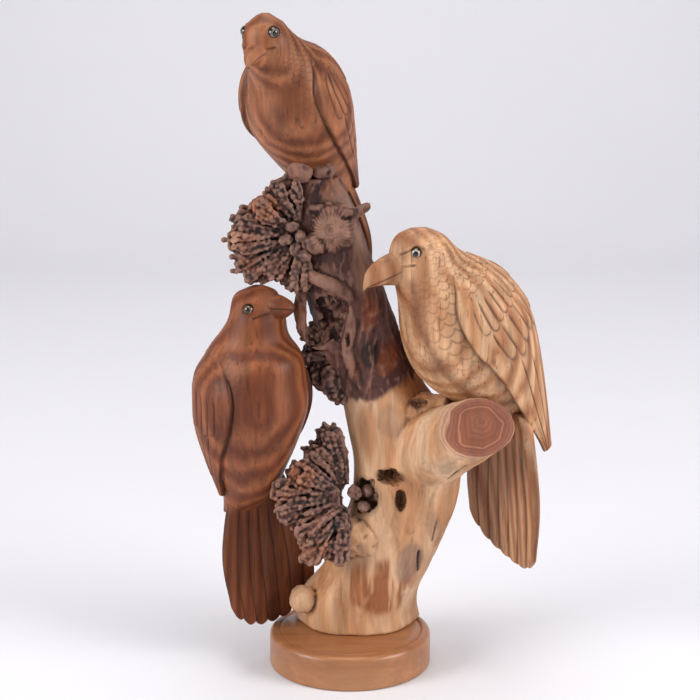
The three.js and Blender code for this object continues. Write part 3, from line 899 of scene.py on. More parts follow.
def petal_shape(root, row, index, size=0.82, flat=0.5):
    """The thin plate inside a petal, from which its ridges stand up."""
    x, y, z, half_width, half_thick = row[:5]
    to = np.array([x, y, z], float)
    start = lerp(np.array(root, float), to, 0.3)
    along = unit(to - start)
    across = unit(np.cross(along, [0, -1, 0]))
    out = np.cross(across, along)
    t = np.linspace(0, 1, 30)[:, None]
    angle = np.linspace(0, 2 * math.pi, 40, endpoint=False)[None]
    t, angle = np.broadcast_arrays(t, angle)
    swell = lerp(0.6, 1, smooth(t, 0, 0.8))
    close = np.sqrt(1 - 0.75 * smooth(t, 0.7, 1.05) ** 2)
    knob = 1 + 0.2 * np.sin(2 * angle + 9 * t + 1.7 * index)
    full = size * swell * close * knob
    centre = lerp(start, to, 0.9 * t[..., None])
    rings = centre + (half_width * full * np.cos(angle))[..., None] * across
    return ring_shape(rings + (flat * half_thick * full * np.sin(angle))[..., None] * out)


def ball_shape(row, size=1.0, uneven=0.0, detail=24):
    """A round lump, or an uneven one, from its middle and its half sizes."""
    x, y, z, half_x, half_y, half_z = row
    a = np.linspace(0.02, math.pi - 0.02, detail)[:, None]
    b = np.linspace(0, 2 * math.pi, 2 * detail, endpoint=False)[None]
    away = np.stack([np.sin(a) * np.cos(b), np.sin(a) * np.sin(b), np.cos(a) + 0 * b], -1)
    middle = np.array([x, y, z])
    reach = away * size * np.array([half_x, half_y, half_z])
    rough = noise((middle + reach).reshape(-1, 3), 7, 61, 3).reshape(away.shape[:2])
    return ring_shape(middle + reach * (1 + uneven * rough)[..., None])


def bar_shape(rows, around=24, steps=48):
    """A bent round bar through rows of x, y, z and radius."""
    x, y, z, radius = np.moveaxis(curve(rows, np.linspace(0, 1, steps)), -1, 0)
    middle = np.stack([x, y, z], -1)
    along = unit(np.gradient(middle, axis=0))
    side = unit(np.cross(along, [0.02, -1, 0.01]))
    up = np.cross(side, along)
    a = np.linspace(0, 2 * math.pi, around, endpoint=False)[None, :, None]
    away = np.cos(a) * side[:, None] + np.sin(a) * up[:, None]
    return ring_shape(middle[:, None] + radius[:, None, None] * away)


def ridge_paths(growth, seed):
    """Lines of the ridges that fan out over each petal's two faces and fork near its edge."""
    draw = np.random.default_rng(seed)
    root = np.array(growth["root"], float)
    t = np.linspace(0.22, 1, 14)[:, None]
    fan, late, lift = smooth(t, 0, 0.8), smooth(t, 0.5, 1), smooth(t, 0, 0.6)
    paths = []
    for x, y, z, half_width, half_thick, *_ in growth["petals"]:
        to = np.array([x, y, z], float)
        along = unit(to - root)
        across = unit(np.cross(along, [0, -1, 0]))
        out = np.cross(across, along)
        count = max(3, round(half_width / 2.6))
        for layer in (-0.75, 0.1, 0.85):
            for k in range(count):
                side = lerp(-1, 1, (k + draw.uniform(0.2, 0.8)) / count)
                push = math.sqrt(max(0, 1 - side * side)) * layer
                length = draw.uniform(0.84, 1.0) - 0.12 * side ** 2
                turn, bend = draw.uniform(0, 6.3, 2)
                for fork in (-1, 1):
                    reach = length - draw.uniform(0, 0.1)
                    path = lerp(root, to, reach * t)
                    path = path + across * (half_width * 0.9 * side * fan + fork * draw.uniform(0.8, 2.4) * late)
                    path = path + out * (half_thick * push * lift + fork * draw.uniform(-1, 1) * late)
                    path = path + across * 0.8 * np.sin(9 * t + turn) + out * 0.7 * np.sin(12 * t + bend)
                    paths.append(path)
    return paths


def ridge_tree(material):
    """Geometry nodes: a tube along each line, thicker towards its end, with small knobs on it."""
    tree = bpy.data.node_groups.new("wood_rose_ridges", "GeometryNodeTree")
    face = tree.interface
    face.new_socket("Geometry", in_out="INPUT", socket_type="NodeSocketGeometry")
    sizes = {"Root Radius": 0.9, "End Radius": 1.75, "Knob Spacing": 2.6, "Knob Shift": 0.9}
    for name, value in sizes.items():
        socket = face.new_socket(name, in_out="INPUT", socket_type="NodeSocketFloat")
        socket.default_value = value * MM
    seed = face.new_socket("Seed", in_out="INPUT", socket_type="NodeSocketInt")
    seed.default_value = 3
    face.new_socket("Geometry", in_out="OUTPUT", socket_type="NodeSocketGeometry")
    add, link = tree.nodes.new, tree.links.new
    source, result = add("NodeGroupInput"), add("NodeGroupOutput")
    lines = add("GeometryNodeMeshToCurve")
    link(source.outputs["Geometry"], lines.inputs["Mesh"])
    along = add("GeometryNodeSplineParameter")
    taper = add("ShaderNodeMapRange")
    link(along.outputs["Factor"], taper.inputs["Value"])
    link(source.outputs["Root Radius"], taper.inputs["To Min"])
    link(source.outputs["End Radius"], taper.inputs["To Max"])
    radius = add("GeometryNodeSetCurveRadius")
    link(lines.outputs["Curve"], radius.inputs["Curve"])
    link(taper.outputs["Result"], radius.inputs["Radius"])
    ring = add("GeometryNodeCurvePrimitiveCircle")
    ring.inputs["Resolution"].default_value = 8
    ring.inputs["Radius"].default_value = 1.0
    tube = add("GeometryNodeCurveToMesh")
    tube.inputs["Fill Caps"].default_value = True
    link(radius.outputs["Curve"], tube.inputs["Curve"])
    link(ring.outputs["Curve"], tube.inputs["Profile Curve"])
    if "Scale" in tube.inputs:
        link(taper.outputs["Result"], tube.inputs["Scale"])
    spots = add("GeometryNodeCurveToPoints")
    spots.mode = "LENGTH"
    link(radius.outputs["Curve"], spots.inputs["Curve"])
    link(source.outputs["Knob Spacing"], spots.inputs["Length"])
    knob = add("GeometryNodeMeshIcoSphere")
    knob.inputs["Subdivisions"].default_value = 2
    knob.inputs["Radius"].default_value = 1.0
    spread = add("FunctionNodeRandomValue")
    spread.data_type = "FLOAT"
    spread.inputs["Min"].default_value = 0.7
    spread.inputs["Max"].default_value = 1.45
    link(source.outputs["Seed"], spread.inputs["Seed"])
    thick = add("GeometryNodeInputRadius")
    scaled = add("ShaderNodeMath")
    scaled.operation = "MULTIPLY"
    link(spread.outputs["Value"], scaled.inputs[0])
    link(thick.outputs["Radius"], scaled.inputs[1])
    shift = add("FunctionNodeRandomValue")
    shift.data_type = "FLOAT_VECTOR"
    shift.inputs["Min"].default_value = (-1.0, -1.0, -1.0)
    shift.inputs["Max"].default_value = (1.0, 1.0, 1.0)
    link(source.outputs["Seed"], shift.inputs["Seed"])
    length = add("ShaderNodeVectorMath")
    length.operation = "SCALE"
    link(shift.outputs["Value"], length.inputs[0])
    link(source.outputs["Knob Shift"], length.inputs["Scale"])
    moved = add("GeometryNodeSetPosition")
    link(spots.outputs["Points"], moved.inputs["Geometry"])
    link(length.outputs["Vector"], moved.inputs["Offset"])
    copies = add("GeometryNodeInstanceOnPoints")
    link(moved.outputs["Geometry"], copies.inputs["Points"])
    link(knob.outputs["Mesh"], copies.inputs["Instance"])
    link(scaled.outputs["Value"], copies.inputs["Scale"])
    both = add("GeometryNodeJoinGeometry")
    link(tube.outputs["Mesh"], both.inputs["Geometry"])
    link(copies.outputs["Instances"], both.inputs["Geometry"])
    real = add("GeometryNodeRealizeInstances")
    link(both.outputs["Geometry"], real.inputs["Geometry"])
    paint = add("GeometryNodeSetMaterial")
    paint.inputs["Material"].default_value = material
    link(real.outputs["Geometry"], paint.inputs["Geometry"])
    link(paint.outputs["Geometry"], result.inputs["Geometry"])
    return tree


def ridge_piece(growth, seed, tree):
    paths = ridge_paths(growth, seed)
    points = np.concatenate(paths) * MM
    pairs, start = [], 0
    for path in paths:
        pairs += [(start + i, start + i + 1) for i in range(len(path) - 1)]
        start += len(path)
    mesh = bpy.data.meshes.new("ridges")
    mesh.from_pydata(points.tolist(), pairs, [])
    piece = bpy.data.objects.new("ridges", mesh)
    bpy.context.scene.collection.objects.link(piece)
    grow = piece.modifiers.new("ridges", "NODES")
    grow.node_group = tree
    names = {s.name: s.identifier for s in tree.interface.items_tree if s.in_out == "INPUT"}
    grow[names["Seed"]] = seed
    return baked(piece)


def one_skin(name, parts, voxel):
    """Joins overlapping closed parts into a single skin."""
    piece = parts[0]
    with bpy.context.temp_override(active_object=piece, object=piece, selected_editable_objects=parts):
        bpy.ops.object.join()
    piece.name = name
    remesh = piece.modifiers.new("one skin", "REMESH")
    remesh.mode = "VOXEL"
    remesh.voxel_size = voxel * MM
    return baked(piece)


def cavity_of(piece, points, edges):
    """How deep each vertex lies among its neighbours: over 0.5 in a hollow, under it on a ridge."""
    level = points
    for _ in range(7):
        level = neighbour_mean(level, edges)
    hollow = ((level - points) * normals_of(piece)).sum(1)
    return np.clip(0.5 + 0.9 * hollow, 0, 1)


def growth_piece(name, growth, seed, tree, material, triangles):
    """A wood-rose growth: petals of forked ridges round a knotty middle."""
    shapes = [ball_shape(growth["core"], 0.7, 0.3)]
    shapes += [petal_shape(growth["root"], row, i) for i, row in enumerate(growth["petals"])]
    shapes += [ball_shape(row, 1.0, 0.25) for row in growth["lumps"]]
    parts = [object_of("wood", s) for s in shapes] + [ridge_piece(growth, seed, tree)]
    piece = thinned(one_skin(name, parts, 0.8), triangles)
    points, edges, normal = points_of(piece), edges_of(piece), normals_of(piece)
    relief = 0.35 * ridged(points, 5, 51, 2) + 0.3 * noise(points, 3, 55)
    points = points + normal * relief[:, None]
    sawn = np.zeros(len(points))
    for middle, facing, reach in growth["sawn"]:
        off = points - middle
        over = off @ unit(np.array(facing, float))
        near = np.linalg.norm(off, axis=1) < reach
        points = points - np.outer(np.where(near, np.maximum(over, 0), 0), unit(np.array(facing, float)))
        sawn = np.maximum(sawn, near * smooth(over, -0.5, 0))
    set_points(piece, points)
    warm = np.zeros(len(points))
    for *tip, half_width, _, tint in growth["petals"]:
        middle = lerp(np.array(growth["root"], float), np.array(tip, float), 0.75)
        near = np.linalg.norm(points - middle, axis=1)
        warm = np.maximum(warm, tint * (1 - smooth(near, 0.7 * half_width, 1.5 * half_width)))
    write_values(piece, cavity=cavity_of(piece, points, edges), warm=warm, sawn=sawn)
    return dressed(piece, material)


def ellipsoid_share(points, row):
    """1 inside an ellipsoid's middle, 0 well outside it."""
    x, y, z, half_x, half_y, half_z = row
    r = np.linalg.norm((points - [x, y, z]) / [half_x, half_y, half_z], axis=1)
    return 1 - smooth(r, 0.75, 1.25)


def trunk_piece(material):
    shapes = [stem_shape(), branch_shape(STUB), branch_shape(SADDLE)]
    shapes += [ball_shape(row, 1.0, 0.12) for row in BURLS]
    shapes += [bar_shape(rows) for rows in BARS]
    piece = one_skin("trunk_wood", [object_of("wood", s) for s in shapes], 1.05)
    points, edges = points_of(piece), edges_of(piece)
    join = 1 - smooth(np.linalg.norm(points - [64, -6, 172], axis=1), 20, 44)
    set_points(piece, relaxed(points, edges, join, 60))
    hollows = [object_of("hollow", ball_shape(row, 1.0, 0.28, 48)) for row in HOLLOWS]
    combined(piece, hollows, "DIFFERENCE")
    thinned(piece, 190000)
    shape_wood(piece)
    return dressed(piece, material)


def shape_wood(piece):
    """Fissures, weathering and the values that the wood's finish reads, painted shade in the hollows and cracks among
    them.
    """
    points, edges, normal = points_of(piece), edges_of(piece), normals_of(piece)
    facing = unit(np.array(STUB["normal"], float))
    to_face = (points - np.array(STUB["end"], float)) @ facing
    near_cut = np.linalg.norm(points - STUB["end"], axis=1) < 45
    cut = smooth(to_face, -1.2, -0.4) * near_cut
    bent = points + 5 * np.stack([noise(points, 26, seed) for seed in (31, 32, 33)], 1)
    x, y, z = points.T
    jagged = 5 * noise(bent * [1, 1, 0.4], 12, 5, 2) + 2.5 * ridged(bent * [1, 1, 0.25], 6, 6, 2)
    dark = smooth(z + jagged - 0.3 * x, 213, 217.5)
    dark = np.maximum(dark, smooth(-x + 0.8 * jagged, 2, 6) * smooth(z + 2 * jagged, 128, 150))
    values = {"warm": 0, "grey": 0, "dark_patch_and_shade": 0, "dashes": 0, "light": 0}
    for kind, strength, row in STAINS:
        values[kind] = values[kind] + strength * ellipsoid_share(bent, row)
    # painted shade: the insides of the hollows darkened
    for row in HOLLOWS:
        values["dark_patch_and_shade"] = np.maximum(values["dark_patch_and_shade"], 0.8 * ellipsoid_share(points, row))
    old = dark * (1 - 0.5 * np.clip(values["light"], 0, 1))
    relief = old * (1.3 * ridged(bent * [1, 1, 0.4], 12, 41) + 0.5 * ridged(bent * [1, 1, 0.5], 5, 44, 2))
    relief = relief + (1 - old) * (0.45 * noise(bent * [1, 1, 0.25], 9, 3, 3) + 0.3 * ridged(bent * [1, 1, 0.12], 6, 47, 2))
    bx, by, bz = x - BURL_DISC[0], y - BURL_DISC[1], z - BURL_DISC[2]
    off = np.hypot(bx, bz)
    on_burl = (off < 19) * (by < 14)
    fibres = np.sin(30 * np.arctan2(bz, bx) + 3 * noise(points, 6, 71)) * smooth(off, 4, 8)
    turns = np.cos(2.2 * off) * (1 - smooth(off, 5, 7))
    relief = lerp(relief, 0.35 * fibres + 0.3 * turns + 0.5 * noise(points, 6, 72), on_burl * (1 - smooth(off, 14, 19)))
    for path, wide, deep in CRACKS:
        gap = line_distance(bent * 0.3 + points * 0.7, path)
        share = np.exp(-(gap / wide) ** 2)
        relief = relief - deep * share
        # painted shade: the crack darkened along its line
        values["dark_patch_and_shade"] = np.maximum(values["dark_patch_and_shade"], share)
    relief = relief * (1 - cut)
    points = points + normal * relief[:, None]
    set_points(piece, points)
    off = points - STUB["end"]
    across = unit(np.array([-facing[1], facing[0], 0]))
    ring = np.hypot(off @ across - 2, (off @ np.cross(facing, across)) * 1.3)
    write_values(piece, dark=dark, cut=cut, cavity=cavity_of(piece, points, edges), ring=ring, **values)


# ------------------------------------------------------------------ plinth


def plinth_piece(material):
    """A turned disc with a rounded rim and a shallow ring near its edge, swept round from its profile."""
    radius, height, rim = PLINTH["radius"], PLINTH["height"], PLINTH["rim"]
    profile = [(0.01, 0), (radius - 2, 0), (radius - 0.6, 0.6), (radius, 2)]
    profile += [(radius, lerp(2, height - rim, k / 4)) for k in (1, 2, 3)]
    for a in np.linspace(0, math.pi / 2, 9):
        profile.append((radius - rim * (1 - math.cos(a)), height - rim * (1 - math.sin(a))))
    at, deep = PLINTH["groove_at"], PLINTH["groove"]
    profile += [(at + 1.4, height), (at + 0.7, height - 0.5 * deep), (at, height - deep)]
    profile += [(at - 0.7, height - 0.5 * deep), (at - 1.4, height)]
    profile += [(r, height) for r in (44, 33, 22, 11, 0.01)]
    angle = np.linspace(0, 2 * math.pi, 160, endpoint=False)
    rings = np.array([[(r * math.cos(a), r * math.sin(a), z) for a in angle] for r, z in profile])
    shape = ring_shape(rings)
    piece = object_of("plinth_disc", shape)
    piece.data.materials.append(material)
    return piece


# ------------------------------------------------------------------ finishes


class Finish:
    """Builds a procedural material from short calls."""

    def __init__(self, name):
        self.material = bpy.data.materials.new(name)
        self.material.use_nodes = True
        self.tree = self.material.node_tree
        self.shader = self.tree.nodes["Principled BSDF"]
        self.place = self.tree.nodes.new("ShaderNodeTexCoord").outputs["Object"]

    def node(self, kind, **settings):
        made = self.tree.nodes.new(kind)
        for key, value in settings.items():
            setattr(made, key, value)
        return made

    def feed(self, socket, value):
        if isinstance(value, bpy.types.NodeSocket):
            self.tree.links.new(value, socket)
        else:
            socket.default_value = value

    def value(self, name):
        return self.node("ShaderNodeAttribute", attribute_name=name).outputs["Fac"]

    def math(self, operation, a, b=0.0, clamp=False):
        made = self.node("ShaderNodeMath", operation=operation, use_clamp=clamp)
        self.feed(made.inputs[0], a)
        self.feed(made.inputs[1], b)
        return made.outputs[0]

    def stretch(self, scale, turn=(0, 0, 0)):
        made = self.node("ShaderNodeMapping")
        self.feed(made.inputs["Vector"], self.place)
        made.inputs["Scale"].default_value = scale
        made.inputs["Rotation"].default_value = turn
        return made.outputs["Vector"]

    def noise(self, scale, detail=3.0, stretch=(1, 1, 1), twist=0.0, roughness=0.55, turn=(0, 0, 0)):
        made = self.node("ShaderNodeTexNoise")
        self.feed(made.inputs["Vector"], self.stretch(stretch, turn))
        made.inputs["Scale"].default_value = scale
        made.inputs["Detail"].default_value = detail
        made.inputs["Roughness"].default_value = roughness
        made.inputs["Distortion"].default_value = twist
        return made.outputs["Fac"]

    def rings(self, centre, scale, twist, detail):
        """Growth rings round an upright line."""
        made = self.node("ShaderNodeTexWave", wave_type="RINGS", rings_direction="Z")
        moved = self.node("ShaderNodeMapping")
        moved.inputs["Location"].default_value = (-centre[0] * MM, -centre[1] * MM, 0)
        moved.inputs["Scale"].default_value = (1, 1, 0.3)
        self.feed(moved.inputs["Vector"], self.place)
        self.feed(made.inputs["Vector"], moved.outputs["Vector"])
        made.inputs["Scale"].default_value = scale
        made.inputs["Distortion"].default_value = twist
        made.inputs["Detail"].default_value = detail
        return made.outputs["Fac"]

    def ramp(self, value, stops):
        made = self.node("ShaderNodeValToRGB")
        self.feed(made.inputs["Fac"], value)
        elements = made.color_ramp.elements
        while len(elements) < len(stops):
            elements.new(0.5)
        for element, (at, colour) in zip(elements, stops):
            element.position = at
            element.color = (*colour, 1) if len(colour) == 3 else colour
        return made.outputs["Color"]

    def range(self, value, low, high, to_low=0.0, to_high=1.0):
        made = self.node("ShaderNodeMapRange")
        self.feed(made.inputs["Value"], value)
        for key, number in zip(("From Min", "From Max", "To Min", "To Max"), (low, high, to_low, to_high)):
            made.inputs[key].default_value = number
        return made.outputs["Result"]

    def mix(self, share, a, b, blend="MIX"):
        made = self.node("ShaderNodeMix", data_type="RGBA", blend_type=blend)
        self.feed(made.inputs["Factor"], share)
        for socket, value in ((made.inputs["A"], a), (made.inputs["B"], b)):
            pass
        sockets = [s for s in made.inputs if s.type == "RGBA"]
        for socket, value in zip(sockets, (a, b)):
            if not isinstance(value, bpy.types.NodeSocket):
                value = (*value, 1)
            self.feed(socket, value)
        return [s for s in made.outputs if s.type == "RGBA"][0]

    def finish(self, colour, roughness, bump=None, strength=0.3, depth=0.0004, **shader):
        self.feed(self.shader.inputs["Base Color"], colour)
        self.feed(self.shader.inputs["Roughness"], roughness)
        for key, value in shader.items():
            self.shader.inputs[key.replace("_", " ")].default_value = value
        if bump is not None:
            made = self.node("ShaderNodeBump")
            made.inputs["Strength"].default_value = strength
            made.inputs["Distance"].default_value = depth
            self.feed(made.inputs["Height"], bump)
            self.feed(self.shader.inputs["Normal"], made.outputs["Normal"])
        return self.material


def bird_wood(name, pale, mid, deep, crown, centre):
    """Oiled, hand-rubbed wood with upright grain: painted shade darkens it in the cuts; stained in places."""
    f = Finish(name)
    rings = f.rings(centre, 34, 5.0, 2.2)
    bands = f.noise(16, 4, (1, 1, 0.12), 0.6)
    fine = f.noise(150, 4, (1, 1, 0.05), 0.2, 0.65)
    cloud = f.noise(11, 3)
    figure = f.math("ADD", f.math("MULTIPLY", bands, 0.5), f.math("MULTIPLY", cloud, 0.25))
    figure = f.math("ADD", figure, f.math("MULTIPLY", rings, 0.25))
    colour = f.ramp(figure, [(0.34, deep), (0.5, mid), (0.66, pale)])
    stain = f.math("ADD", f.value("stain"), f.math("MULTIPLY", f.value("head"), 0.0))
    colour = f.mix(f.range(stain, 0, -1, 0, 0.8), colour, tuple(1.35 * c for c in pale))
    # darker by the stain value: real stains, and on the tails partly painted shade
    colour = f.mix(f.range(stain, 0, 1, 0, 0.9), colour, tuple(0.55 * c for c in deep))
    colour = f.mix(f.math("MULTIPLY", f.value("head"), 0.6), colour, f.mix(0.3, crown, colour))
    colour = f.mix(1.0, colour, f.range(fine, 0.33, 0.7, 0.6, 1.12), "MULTIPLY")
    pores = f.noise(420, 2, (1, 1, 0.06))
    colour = f.mix(f.range(pores, 0.6, 0.7, 0, 0.6), colour, tuple(0.4 * c for c in deep))
    # painted shade: the cuts darkened by the groove value
    colour = f.mix(f.math("MULTIPLY", f.value("groove"), 0.85), colour, tuple(0.22 * c for c in deep))
    rough = f.range(fine, 0.3, 0.7, 0.42, 0.58)
    bump = f.math("SUBTRACT", f.math("MULTIPLY", fine, 0.5), f.math("MULTIPLY", pores, 0.3))
    return f.finish(colour, rough, bump, 0.3, 0.0003, Specular_IOR_Level=0.3)


def trunk_wood():
    """Raw parasite wood: pale streaked sapwood below, dark weathered wood above, with painted shade in its fissures and
    hollows and painted highlights on the ridges of the dark wood.
    """
    f = Finish("parasite_wood")
    flow = f.noise(12, 5, (1, 1, 0.22), 1.4)
    fine = f.noise(95, 5, (1, 1, 0.12), 0.5, 0.65)
    pale = f.ramp(flow, [
        (0.3, (0.36, 0.13, 0.045)), (0.43, (0.58, 0.29, 0.14)), (0.55, (0.68, 0.42, 0.25)),
        (0.68, (0.75, 0.52, 0.35))])
    dash = f.noise(60, 3, (1, 0.8, 0.16), 0.6, 0.6)
    amount = f.math("ADD", f.math("MULTIPLY", f.value("dashes"), 0.75), 0.12)
    pale = f.mix(f.math("MULTIPLY", f.range(dash, 0.5, 0.6), amount), pale, (0.3, 0.09, 0.028))
    pale = f.mix(f.math("MULTIPLY", f.value("warm"), 0.8), pale, (0.4, 0.15, 0.055))
    pale = f.mix(f.math("MULTIPLY", f.value("grey"), f.range(dash, 0.35, 0.6, 0.35, 0.95)), pale, (0.2, 0.12, 0.095))
    pale = f.mix(1.0, pale, f.range(fine, 0.32, 0.68, 0.62, 1.12), "MULTIPLY")
    old = f.ramp(f.noise(26, 5, (1, 1, 0.3), 1.2), [
        (0.3, (0.016, 0.008, 0.008)), (0.44, (0.07, 0.028, 0.024)),
        (0.56, (0.15, 0.06, 0.046)), (0.7, (0.28, 0.15, 0.11))])
    old = f.mix(f.math("MULTIPLY", f.value("warm"), 0.8), old, (0.25, 0.07, 0.03))
    old = f.mix(f.math("MULTIPLY", f.value("grey"), 0.6), old, (0.13, 0.085, 0.09))
    old = f.mix(f.math("MULTIPLY", f.value("light"), 0.85), old, f.ramp(flow, [
        (0.35, (0.2, 0.09, 0.06)), (0.6, (0.4, 0.23, 0.16))]))
    old = f.mix(1.0, old, f.range(fine, 0.3, 0.7, 0.45, 1.3), "MULTIPLY")
    colour = f.mix(f.value("dark"), pale, old)
    # near black: a real dark patch, and painted shade in the hollows and cracks
    colour = f.mix(f.math("MULTIPLY", f.value("dark_patch_and_shade"), 0.93), colour, (0.012, 0.006, 0.005))
    ring = f.math("ADD", f.value("ring"), f.math("MULTIPLY", f.noise(30, 3), 5.0))
    wave = f.math("SINE", f.math("MULTIPLY", ring, 2.4))
    heart = f.ramp(f.range(ring, 0, 34), [
        (0.1, (0.55, 0.3, 0.16)), (0.15, (0.27, 0.095, 0.045)), (0.4, (0.3, 0.105, 0.055)),
        (0.62, (0.24, 0.075, 0.04)), (0.655, (0.4, 0.18, 0.1)), (0.69, (0.25, 0.08, 0.045)),
        (0.86, (0.3, 0.115, 0.07)), (0.92, (0.55, 0.32, 0.2))])
    heart = f.mix(f.range(wave, -0.2, 1, 0.0, 0.4), heart, (0.16, 0.045, 0.02))
    heart = f.mix(1.0, heart, f.range(fine, 0.3, 0.7, 0.75, 1.15), "MULTIPLY")
    colour = f.mix(f.value("cut"), colour, heart)
    # painted shade: near black deep in the fissures and hollows, by the cavity value
    colour = f.mix(f.range(f.value("cavity"), 0.58, 1.0, 0, 0.8), colour, (0.012, 0.006, 0.004))
    # painted highlight: the ridges of the dark weathered wood lightened, by the cavity value
    ridge_highlight = f.math("MULTIPLY", f.range(f.value("cavity"), 0.42, 0.1, 0, 0.45), f.value("dark"))
    colour = f.mix(ridge_highlight, colour, (0.36, 0.19, 0.13))
    rough = f.range(fine, 0.3, 0.7, 0.5, 0.75)
    bump = f.math("ADD", fine, f.math("MULTIPLY", f.noise(300, 3), 0.4))
    return f.finish(colour, rough, bump, 0.6, 0.0007, Specular_IOR_Level=0.25)


def growth_wood():
    """The wood-rose growths: painted shade, near black, in the folds; brown and reddish on the ridges and knobs."""
    f = Finish("wood_rose")
    fine = f.noise(160, 4, (1, 1, 1), 0.4, 0.65)
    body = f.ramp(f.noise(55, 5, (1, 1, 1), 0.6), [
        (0.34, (0.016, 0.008, 0.008)), (0.5, (0.06, 0.025, 0.02)), (0.66, (0.15, 0.065, 0.045))])
    body = f.mix(f.math("MULTIPLY", f.value("warm"), f.range(fine, 0.35, 0.6, 0.45, 1.0)), body, (0.3, 0.09, 0.035))
    top = f.mix(f.value("warm"), (0.3, 0.16, 0.12), (0.46, 0.19, 0.09))
    colour = f.mix(f.range(f.value("cavity"), 0.5, 0.1, 0, 0.85), body, top)
    # painted shade: the folds darkened near black, by the cavity value
    colour = f.mix(f.range(f.value("cavity"), 0.5, 0.8, 0, 0.95), colour, (0.006, 0.003, 0.003))
    colour = f.mix(f.value("sawn"), colour, f.ramp(fine, [(0.35, (0.3, 0.13, 0.075)), (0.6, (0.46, 0.25, 0.16))]))
    colour = f.mix(1.0, colour, f.range(fine, 0.3, 0.7, 0.6, 1.2), "MULTIPLY")
    rough = f.range(fine, 0.3, 0.7, 0.45, 0.7)
    return f.finish(colour, rough, fine, 0.6, 0.0006, Specular_IOR_Level=0.3)


def plinth_wood():
    """Turned and varnished wood, its grain running across the disc."""
    f = Finish("plinth_wood")
    bands = f.noise(14, 4, (0.15, 1, 1), 0.7)
    fine = f.noise(140, 4, (0.06, 1, 1), 0.3, 0.65)
    colour = f.ramp(bands, [(0.3, (0.28, 0.1, 0.035)), (0.5, (0.42, 0.17, 0.065)), (0.7, (0.52, 0.24, 0.1))])
    colour = f.mix(1.0, colour, f.range(fine, 0.35, 0.75, 0.75, 1.08), "MULTIPLY")
    rough = f.range(fine, 0.3, 0.7, 0.3, 0.45)
    return f.finish(colour, rough, fine, 0.15, 0.0002, Coat_Weight=0.2, Coat_Roughness=0.25)


def eye_glass(name, iris, white=None):
    """A glass eye: black pupil, coloured ring and a painted shadow round its rim where it sits in the socket, by how
    far round from its middle.
    """
    f = Finish(name)
    gaze = f.value("gaze")
    fleck = f.math("MULTIPLY", f.noise(900, 3), 0.02)
    at = f.math("ADD", gaze, fleck)
    # the last stop is painted shadow at the socket's edge
    colour = f.ramp(at, [
        (0.0, (0.004, 0.004, 0.004)), (0.185, (0.006, 0.005, 0.005)), (0.2, iris),
        (0.28, tuple(0.6 * c for c in iris)), (0.33, (0.01, 0.006, 0.004))])
    return f.finish(colour, 0.06, Coat_Weight=0.5, Coat_Roughness=0.05)


def plain_finish(name, colour, roughness):
    f = Finish(name)
    tint = f.ramp(f.noise(3, 2), [(0.3, tuple(0.985 * c for c in colour)), (0.7, colour)])
    return f.finish(tint, roughness)


# ------------------------------------------------------------------ studio


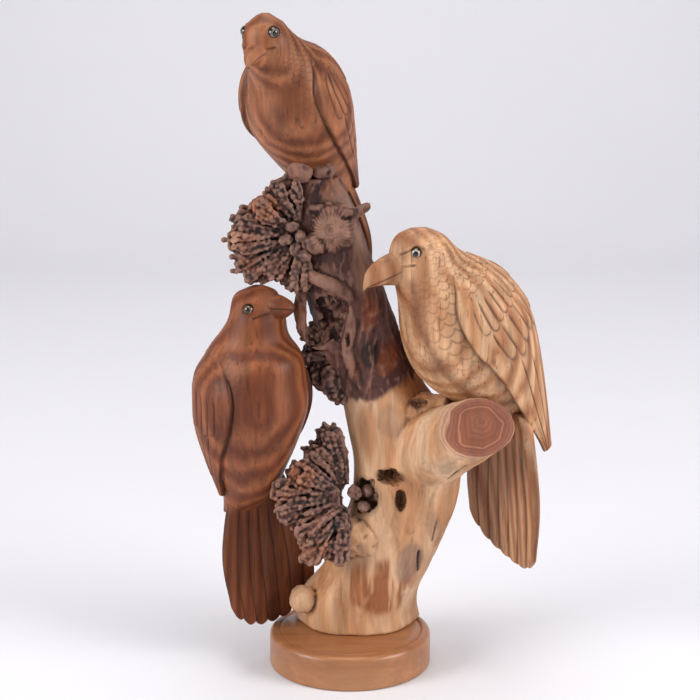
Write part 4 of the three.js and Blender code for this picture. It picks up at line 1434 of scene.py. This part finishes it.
def studio():
    sweep = [(-3.0, 0.0), (1.6, 0.0)]
    sweep += [(1.6 + 0.9 * math.sin(a), 0.9 * (1 - math.cos(a))) for a in np.linspace(0.1, math.pi / 2, 14)]
    sweep.append((2.5, 5.0))
    points = [(x, y, z) for y, z in sweep for x in (-5.0, 5.0)]
    faces = [(2 * i, 2 * i + 1, 2 * i + 3, 2 * i + 2) for i in range(len(sweep) - 1)]
    mesh = bpy.data.meshes.new("floor")
    mesh.from_pydata(points, [], faces)
    mesh.polygons.foreach_set("use_smooth", np.ones(len(faces), bool))
    floor = bpy.data.objects.new("floor", mesh)
    bpy.context.scene.collection.objects.link(floor)
    mesh.materials.append(plain_finish("paper", (0.78, 0.77, 0.8), 0.9))

    lights = [
        ("left box", (-1.7, -0.9, 0.9), 1.1, 30, (1.0, 0.99, 0.97)),
        ("right box", (1.7, -0.8, 1.0), 1.1, 30, (1.0, 0.99, 0.97)),
        ("top box", (0.0, -0.2, 2.4), 1.6, 22, (1.0, 1.0, 1.0)),
        ("backdrop box", (0.0, 0.9, 2.2), 1.2, 12, (1.0, 1.0, 1.0)),
    ]
    for name, place, size, power, colour in lights:
        data = bpy.data.lights.new(name, "AREA")
        data.shape, data.size, data.energy, data.color = "DISK", size, power, colour
        lamp = bpy.data.objects.new(name, data)
        lamp.location = place
        target = Vector((0, 2.4, 0.9) if name == "backdrop box" else (0, 0, 0.25))
        lamp.rotation_euler = (target - Vector(place)).to_track_quat("-Z", "Y").to_euler()
        bpy.context.scene.collection.objects.link(lamp)

    world = bpy.data.worlds.new("soft room")
    world.use_nodes = True
    world.node_tree.nodes["Background"].inputs["Color"].default_value = (0.93, 0.94, 1.0, 1)
    world.node_tree.nodes["Background"].inputs["Strength"].default_value = 0.3
    bpy.context.scene.world = world
    bpy.context.scene.view_settings.view_transform = "Standard"

    camera = bpy.data.objects.new("camera", bpy.data.cameras.new("camera"))
    camera.data.sensor_width = 36
    camera.data.lens = 98.3
    camera.data.clip_start = 0.05
    camera.location = (0, -1.4, 0.588)
    camera.rotation_euler = (math.radians(90 - 13.58), 0, 0)
    bpy.context.scene.collection.objects.link(camera)
    bpy.context.scene.camera = camera


# ------------------------------------------------------------------ the carving

studio()

FINISHES = {
    "left_bird": bird_wood("left_bird_wood", (0.34, 0.115, 0.045), (0.25, 0.072, 0.026), (0.15, 0.036, 0.012), (0.22, 0.06, 0.022), (-60, 40)),
    "top_bird": bird_wood("top_bird_wood", (0.42, 0.16, 0.07), (0.3, 0.1, 0.04), (0.18, 0.05, 0.018), (0.3, 0.11, 0.05), (-40, 40)),
    "right_bird": bird_wood("right_bird_wood", (0.66, 0.38, 0.21), (0.52, 0.25, 0.12), (0.34, 0.12, 0.05), (0.4, 0.17, 0.09), (120, 60)),
}
EYES = {
    "left_bird": eye_glass("left_bird_eye", (0.25, 0.11, 0.05)),
    "top_bird": eye_glass("top_bird_eye", (0.2, 0.16, 0.12)),
    "right_bird": eye_glass("right_bird_eye", (0.5, 0.4, 0.3)),
}
for bird in (LEFT_BIRD, TOP_BIRD, RIGHT_BIRD):
    name = bird["name"]
    carving = bird_piece(bird, FINISHES[name])
    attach(carving, "root")
    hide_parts(name)
    for side, word in ((1, "left"), (-1, "right")):
        shape = placed(bird, eye_ball(bird, side))
        eye = object_of(f"{name}_{word}_eye_glass", shape)
        write_values(eye, gaze=shape.values["gaze"])
        eye.data.materials.append(EYES[name])
        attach(eye, "root")
        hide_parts(f"{name}_{word}_eye")

crusted = growth_wood()
tree = ridge_tree(crusted)
woods = [trunk_piece(trunk_wood())]
for seed, (name, growth, triangles) in enumerate([
    ("upper_wood_rose", UPPER_GROWTH, 110000),
    ("side_wood_rose", SIDE_GROWTH, 60000),
    ("lower_wood_rose", LOWER_GROWTH, 110000),
]):
    woods.append(growth_piece(name, growth, 11 + seed, tree, crusted, triangles))
for wood in woods:
    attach(wood, "root")
    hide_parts("trunk")

disc = plinth_piece(plinth_wood())
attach(disc, "root")
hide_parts("plinth")
